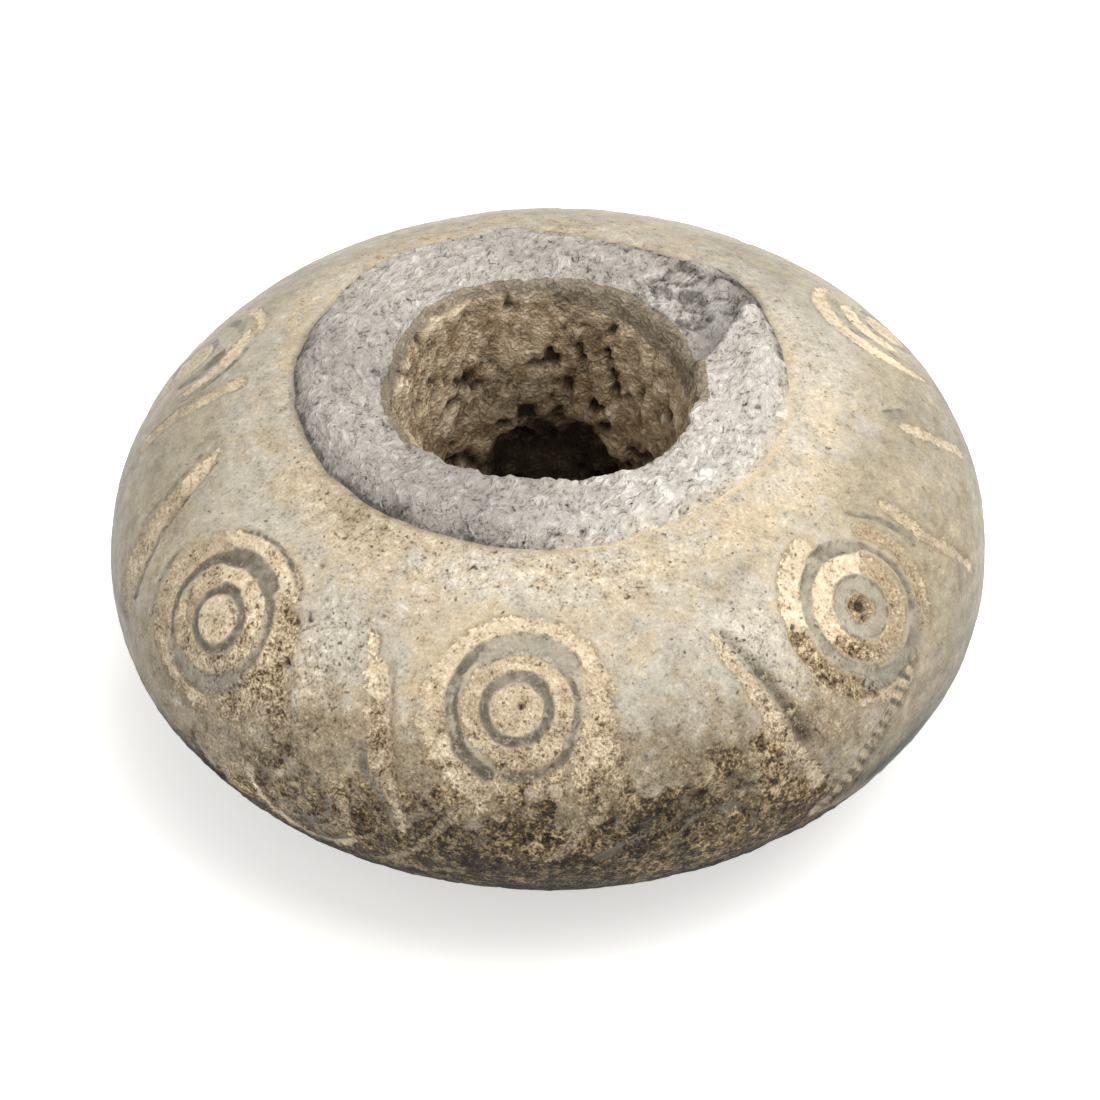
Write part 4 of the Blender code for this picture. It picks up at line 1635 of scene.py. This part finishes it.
@dataclass(frozen=True)
class RingFinish:
    """Rough grey bone with fibres that all lie one way."""

    turn: float
    lean: float = 32.0
    stretch: float = 2.0
    strand_width: float = 0.38
    thread_width: float = 0.18
    relief_height: float = 0.04
    bone: Palette = Palette(Tint(66, 60, 53), Tint(194, 186, 176), Tint(236, 231, 222))
    buff: Palette = Palette(Tint(104, 86, 62), Tint(190, 178, 158), Tint(230, 220, 202))
    soil: Palette = Palette(Tint(32, 29, 26), Tint(102, 96, 89), Tint(172, 166, 158))
    roughness: float = 0.66
    gloss: float = 0.4

    def build(self) -> bpy.types.Material:
        """Builds the material.

        Returns:
            The material.
        """
        graph = Graph("worn_bone")
        where = graph.place()
        region = graph.ease(graph.noise(where, 1.5, 2.0, 0.6), -0.25, 0.25)
        strands = self.strands(graph, region, self.strand_width)
        threads = self.strands(graph, region, self.thread_width)
        fine = graph.noise(where, 0.08, 1.0, 0.8)
        broad = graph.noise(where, 0.9, 2.0, 0.7)
        clumps = graph.noise(where, 0.4, 1.0, 0.7)
        pits = graph.ease(graph.noise(where, 0.3, 2.0, 0.8, bend=0.8), -0.5, -1.0)
        relief = graph.total(0.1, (strands, -0.5), (threads, 0.4), (fine, 0.3))
        relief = graph.times(relief, graph.ease(broad, -0.8, 0.8, 0.7, 1.25))
        relief = graph.total(relief, (pits, -1.1))
        grain = graph.total(relief, (graph.layer("fibre"), 0.4), (broad, 0.3), (clumps, 0.35))
        surface = Grained(graph, self.bone)
        warm = graph.total(graph.layer("warmth"), (graph.noise(where, 1.6, 4.0, 0.7), 0.6))
        surface.lay(self.buff, graph.ease(warm, 0.0, 1.2))
        # Soil and painted shade darken the edge, the hollow and the pores.
        soiled = graph.total(graph.layer("soil"), (grain, -0.25))
        surface.lay(self.soil, graph.ease(soiled, 0.1, 1.0, 0.0, 0.85))
        # The shade layer paints light and shade round the ring.
        colour = graph.shade(surface.colour(grain), graph.layer("shade"))
        relief = graph.times(relief, self.relief_height)
        return graph.finish(colour, self.roughness, relief, self.gloss)

    def strands(self, graph: Graph, region: Socket, width: float) -> Socket:
        """Fibres that lean one way in some regions and another way in the rest.

        Args:
            graph: The material's nodes.
            region: 0 where they lean one way, and 1 where they lean the other.
            width: Width of the fibres in millimetres.

        Returns:
            Height from about -1 to 1.
        """
        first, second = (
            graph.noise(graph.place(turn, self.stretch), width, 1.0, 0.6, bend=0.7)
            for turn in (self.turn, self.turn - self.lean)
        )
        mixed = graph.total(first, (graph.math("SUBTRACT", second, first), region))
        return graph.total(1.0, (graph.math("ABSOLUTE", mixed), -2.4))


@dataclass(frozen=True)
class BoreFinish:
    """The bore's smooth lip, and the lumpy earth below it, with painted shade deeper down, in the pocks
    and in the hollow.
    """

    lip: Palette = Palette(Tint(74, 64, 52), Tint(156, 142, 122), Tint(196, 182, 160))
    earth: Palette = Palette(Tint(92, 72, 50), Tint(216, 195, 162), Tint(248, 234, 208))
    clods: Palette = Palette(Tint(44, 32, 21), Tint(156, 130, 99), Tint(222, 198, 162))
    pock: Palette = Palette(Tint(12, 9, 6), Tint(40, 31, 22), Tint(96, 78, 58))
    roughness: float = 0.86
    gloss: float = 0.2

    def build(self) -> bpy.types.Material:
        """Builds the material.

        Returns:
            The material.
        """
        graph = Graph("earthy_bore")
        where = graph.place()
        coarse = graph.noise(where, 0.9, 3.0, 0.7)
        middle = graph.noise(where, 0.36, 2.0, 0.65)
        fine = graph.noise(where, 0.12, 1.0, 0.7)
        rounded = graph.total(-0.8, (graph.math("ABSOLUTE", middle), 2.2))
        grain = graph.total(
            0.0, (fine, 0.35), (rounded, 0.75), (graph.layer("lumps"), 0.8), (coarse, 0.4),
        )
        wall = Grained(graph, self.lip)
        below = graph.ease(graph.total(graph.layer("earthy"), (middle, 0.3)), 0.15, 0.85)
        wall.lay(self.earth, below)
        clods = graph.total(coarse, (graph.layer("depth"), 0.1))
        wall.lay(self.clods, graph.times(below, graph.ease(clods, -0.2, 1.0)))
        # The pocks and the hollow are painted dark: partly dark earth, partly painted shade.
        dark = graph.math("MAXIMUM", graph.layer("pocks"), graph.layer("hollow"))
        wall.lay(self.pock, graph.times(dark, 0.9))
        # Painted shade: the earth darkens deeper in the bore.
        sunk_shade = graph.ease(graph.layer("depth"), 3.0, 10.0, 1.0, 0.5)
        colour = graph.shade(wall.colour(grain), graph.times(sunk_shade, graph.layer("shade")))
        relief = graph.total(0.0, (fine, 0.006), (rounded, 0.03))
        return graph.finish(colour, self.roughness, relief, self.gloss)


@dataclass(frozen=True)
class Whorl:
    """The whole piece: one closed skin of foot, belly, crown, ring and bore."""

    diameter: float = 29.92
    columns: int = 660
    gather: float = 0.2
    far_side: float = 14.992
    highest: float = 14.59
    wobble: Grain = Grain(5)
    wobble_start: float = 9.0
    wobble_full: float = 13.0
    # Size and length of the waves in the body's outline, and what they take off it.
    swells: tuple[tuple[float, float], ...] = ((0.07, 12.0), (0.03, 4.0))
    slack: float = 0.03

    @cached_property
    def form(self) -> LensForm:
        """The plain body."""
        return LensForm(self.diameter / 2)

    @cached_property
    def azimuth(self) -> Values:
        """Azimuth of each column, closer together at the front."""
        turn = np.linspace(-math.pi, math.pi, self.columns, endpoint=False)
        return np.degrees(turn - self.gather * np.sin(turn))

    def build(self) -> bpy.types.Object:
        """Builds and dresses the whorl.

        Returns:
            The whorl's object.
        """
        foot, skin = Underside(self.form), Skin(self.form)
        ring, bore = WornRing(self.form), SpindleBore(self.form)
        turn = self.azimuth
        rim_zone = np.where(ring.bony(turn), Zone.RING.value, Zone.BORE.value)
        runs = [
            (foot, Zone.SKIN.value, foot.strip(turn)),
            *((skin, Zone.SKIN.value, strip) for strip in skin.strips(turn, ring.edge(turn))),
            (ring, Zone.RING.value, ring.strip(turn)),
            (ring, rim_zone, ring.rim(turn)),
            (bore, Zone.BORE.value, bore.strip(turn, ring)),
        ]
        strips = [strip for _, _, strip in runs]
        height = np.concatenate([part.carve(strip) for part, _, strip in runs])
        radius = np.concatenate([strip.radius for strip in strips])
        rise = np.concatenate([strip.rise for strip in strips])
        zones = np.concatenate([np.broadcast_to(zone, strip.radius.shape) for _, zone, strip in runs])
        fine = np.concatenate([np.full(len(strip.radius), strip.fine) for strip in strips])
        points = self.displaced(radius, rise, height)
        return self.mesh(points, self.gathered(strips), zones, fine, ring.grain_turn)

    def displaced(self, radius: Values, rise: Values, height: Values) -> Values:
        """Points of the carved skin, kept inside the solid's box.

        Args:
            radius: Radius of each grid point on the plain form.
            rise: Rise of each grid point on the plain form.
            height: How far each point moves out.

        Returns:
            Points in millimetres above the surface that the whorl stands on.
        """
        out = np.roll(radius, -1, axis=0) - np.roll(radius, 1, axis=0)
        up = np.roll(rise, -1, axis=0) - np.roll(rise, 1, axis=0)
        length = np.hypot(out, up)
        plain = in_space(self.azimuth, radius, rise)
        wobble = sum(size * self.wobble.wave(plain, span) for size, span in self.swells) - self.slack
        uneven = smooth(self.wobble_start, self.wobble_full, radius) * wobble
        radius = np.minimum(radius + height * up / length + uneven, self.far_side)
        rise = np.clip(rise - height * out / length + self.form.equator, 0.0, self.highest)
        return in_space(self.azimuth, radius, rise)

    def gathered(self, strips: list[Strip]) -> dict[str, Values]:
        """The layers of all the strips, one after the other.

        Args:
            strips: Strips in order.

        Returns:
            Values at each grid point for each layer.
        """
        found = {}
        for name in sorted({name for strip in strips for name in strip.layers}):
            bare = FAR if name in {mark.value for mark in Mark} else float(name == "shade")
            parts = [strip.layers.get(name, np.full_like(strip.radius, bare)) for strip in strips]
            found[name] = np.concatenate(parts)
        return found

    def mesh(self, points: Values, layers: dict[str, Values], zones: Values, fine: Values,
             grain_turn: float) -> bpy.types.Object:
        """Makes the closed mesh, with every second column left out of the coarse rows.

        Args:
            points: Places of the grid points in millimetres.
            layers: Values at each grid point.
            zones: Zone of each grid point.
            fine: True for the rows that keep every column.
            grain_turn: Way that the ring's fibres lie, in degrees.

        Returns:
            The whorl's object.
        """
        kept = np.zeros(points.shape[:2], bool)
        kept[:, ::2] = True
        kept[fine] = True
        number = np.cumsum(kept.ravel()).reshape(kept.shape) - 1
        faces: list[tuple[int, ...]] = []
        face_zones: list[int] = []
        rows = len(points)
        for row in range(rows):
            above = (row + 1) % rows
            made = self.between(number[row], number[above], bool(fine[row]), bool(fine[above]))
            faces.extend(made)
            columns = np.arange(len(made)) * self.columns // len(made)
            face_zones.extend(zones[row, columns].tolist())
        data = bpy.data.meshes.new("whorl_body")
        data.from_pydata((points[kept] * MM).tolist(), [], faces)
        data.polygons.foreach_set("material_index", face_zones)
        data.shade_smooth()
        for name, values in layers.items():
            layer = data.attributes.new(name, "FLOAT", "POINT")
            layer.data.foreach_set("value", values[kept].astype(np.float32))
        data.update()
        # In the order of the zones, whose values the faces hold.
        for finish in (SkinFinish(), RingFinish(grain_turn), BoreFinish()):
            data.materials.append(finish.build())
        whorl = bpy.data.objects.new("whorl_body", data)
        bpy.context.collection.objects.link(whorl)
        return whorl

    def between(self, low: Values, high: Values, low_fine: bool,
                high_fine: bool) -> list[tuple[int, ...]]:
        """Faces between one row and the next, facing outwards.

        Args:
            low: Numbers of the first row's points.
            high: Numbers of the next row's points.
            low_fine: True if the first row keeps every column.
            high_fine: True if the next row keeps every column.

        Returns:
            Faces as tuples of point numbers.
        """
        faces: list[tuple[int, ...]] = []
        step = 1 if low_fine and high_fine else 2
        for start in range(0, self.columns, step):
            middle, end = (start + 1) % self.columns, (start + step) % self.columns
            if low_fine == high_fine:
                faces.append((low[start], low[end], high[end], high[start]))
            elif high_fine:
                faces.append((low[start], low[end], high[middle]))
                faces.append((low[start], high[middle], high[start]))
                faces.append((low[end], high[end], high[middle]))
            else:
                faces.append((low[start], low[middle], high[start]))
                faces.append((low[middle], high[end], high[start]))
                faces.append((low[middle], low[end], high[end]))
        return faces


@dataclass(frozen=True)
class SoftLight:
    """A square lamp that faces the whorl."""

    name: str
    azimuth: float
    elevation: float
    away: float
    side: float
    radiance: float

    def build(self, target: Values) -> None:
        """Hangs the lamp.

        Args:
            target: Point that it faces, in metres.
        """
        data = bpy.data.lights.new(self.name, "AREA")
        data.shape = "SQUARE"
        data.size = self.side
        data.energy = self.radiance * math.pi * self.side ** 2
        lamp = bpy.data.objects.new(self.name, data)
        bpy.context.collection.objects.link(lamp)
        level = self.away * math.cos(math.radians(self.elevation))
        height = self.away * math.sin(math.radians(self.elevation))
        lamp.location = in_space(np.array(self.azimuth), np.array(level), np.array(height)) + target
        lamp.rotation_euler = (math.radians(90 - self.elevation), 0.0, math.radians(self.azimuth))


@dataclass(frozen=True)
class Studio:
    """Pale floor, soft light and the camera."""

    floor_side: float = 3.0
    floor_drop: float = 0.02
    floor_tint: Tint = Tint(243, 242, 240)
    floor_roughness: float = 0.95
    floor_gloss: float = 0.1
    # The floor glows, which lightens the whorl's shadow on it.
    glow: float = 0.6
    sky: float = 0.45
    lights: tuple[SoftLight, ...] = (
        SoftLight("overhead", 70.0, 72.0, 0.6, 0.5, 4.0),
        SoftLight("front", 8.0, 38.0, 0.6, 0.3, 1.0),
        SoftLight("right", 80.0, 34.0, 0.6, 0.3, 0.5),
        SoftLight("left", -75.0, 36.0, 0.6, 0.3, 0.6),
    )
    elevation: float = 41.0
    distance: float = 240.0
    lens: float = 229.4
    sensor: float = 36.0
    roll: float = 1.1845
    aside: float = 0.054
    upwards: float = -0.121
    nearest: float = 0.01
    farthest: float = 20.0
    equator: float = LensForm.equator

    def build(self) -> None:
        """Lays the floor, hangs the lights and sets the camera."""
        self.lay_floor()
        self.light()
        self.set_camera()

    def lay_floor(self) -> None:
        """Lays a pale floor just under the whorl, which glows to lighten its shadow."""
        half = self.floor_side / 2
        data = bpy.data.meshes.new("floor")
        corners = [(-half, -half, 0.0), (half, -half, 0.0), (half, half, 0.0), (-half, half, 0.0)]
        data.from_pydata(corners, [], [(0, 1, 2, 3)])
        graph = Graph("floor")
        graph.fill(graph.shader, {
            "Base Color": self.floor_tint, "Roughness": self.floor_roughness,
            "Specular IOR Level": self.floor_gloss, "Emission Color": self.floor_tint,
            "Emission Strength": self.glow,
        })
        data.materials.append(graph.material)
        floor = bpy.data.objects.new("floor", data)
        floor.location.z = -self.floor_drop * MM
        bpy.context.collection.objects.link(floor)

    def light(self) -> None:
        """Hangs the lamps and fills in from all round."""
        scene = bpy.context.scene
        scene.world = bpy.data.worlds.new("studio")
        scene.world.use_nodes = True
        backdrop = scene.world.node_tree.nodes["Background"]
        backdrop.inputs["Color"].default_value = (1.0, 1.0, 1.0, 1.0)
        backdrop.inputs["Strength"].default_value = self.sky
        target = np.array([0.0, 0.0, self.equator * MM])
        for lamp in self.lights:
            lamp.build(target)
        scene.view_settings.view_transform = "Standard"
        scene.view_settings.look = "None"

    def set_camera(self) -> None:
        """Sets the camera at the photograph's angle."""
        data = bpy.data.cameras.new("camera")
        data.lens = self.lens
        data.sensor_width = self.sensor
        data.clip_start = self.nearest
        data.clip_end = self.farthest
        camera = bpy.data.objects.new("camera", data)
        angle, roll = math.radians(self.elevation), math.radians(self.roll)
        back = np.array([0.0, -math.cos(angle), math.sin(angle)])
        right, above = np.array([1.0, 0.0, 0.0]), np.array([0.0, math.sin(angle), math.cos(angle)])
        right, above = (right * math.cos(roll) - above * math.sin(roll),
                        above * math.cos(roll) + right * math.sin(roll))
        place = back * self.distance + right * self.aside + above * self.upwards
        turn = np.stack([right, above, back], axis=1)
        matrix = np.eye(4)
        matrix[:3, :3] = turn
        matrix[:3, 3] = (place + np.array([0.0, 0.0, self.equator])) * MM
        camera.matrix_world = Matrix(matrix.tolist())
        bpy.context.collection.objects.link(camera)
        bpy.context.scene.camera = camera


def main() -> None:
    """Builds the whorl and the studio."""
    logging.basicConfig(level=logging.INFO, format="%(name)s: %(message)s")
    whorl = Whorl().build()
    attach(whorl, "root")
    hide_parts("whorl")
    count = sum(len(face.vertices) - 2 for face in whorl.data.polygons)
    log.info("%s has %d triangles", whorl.name, count)
    Studio().build()


if __name__ == "__main__":
    main()
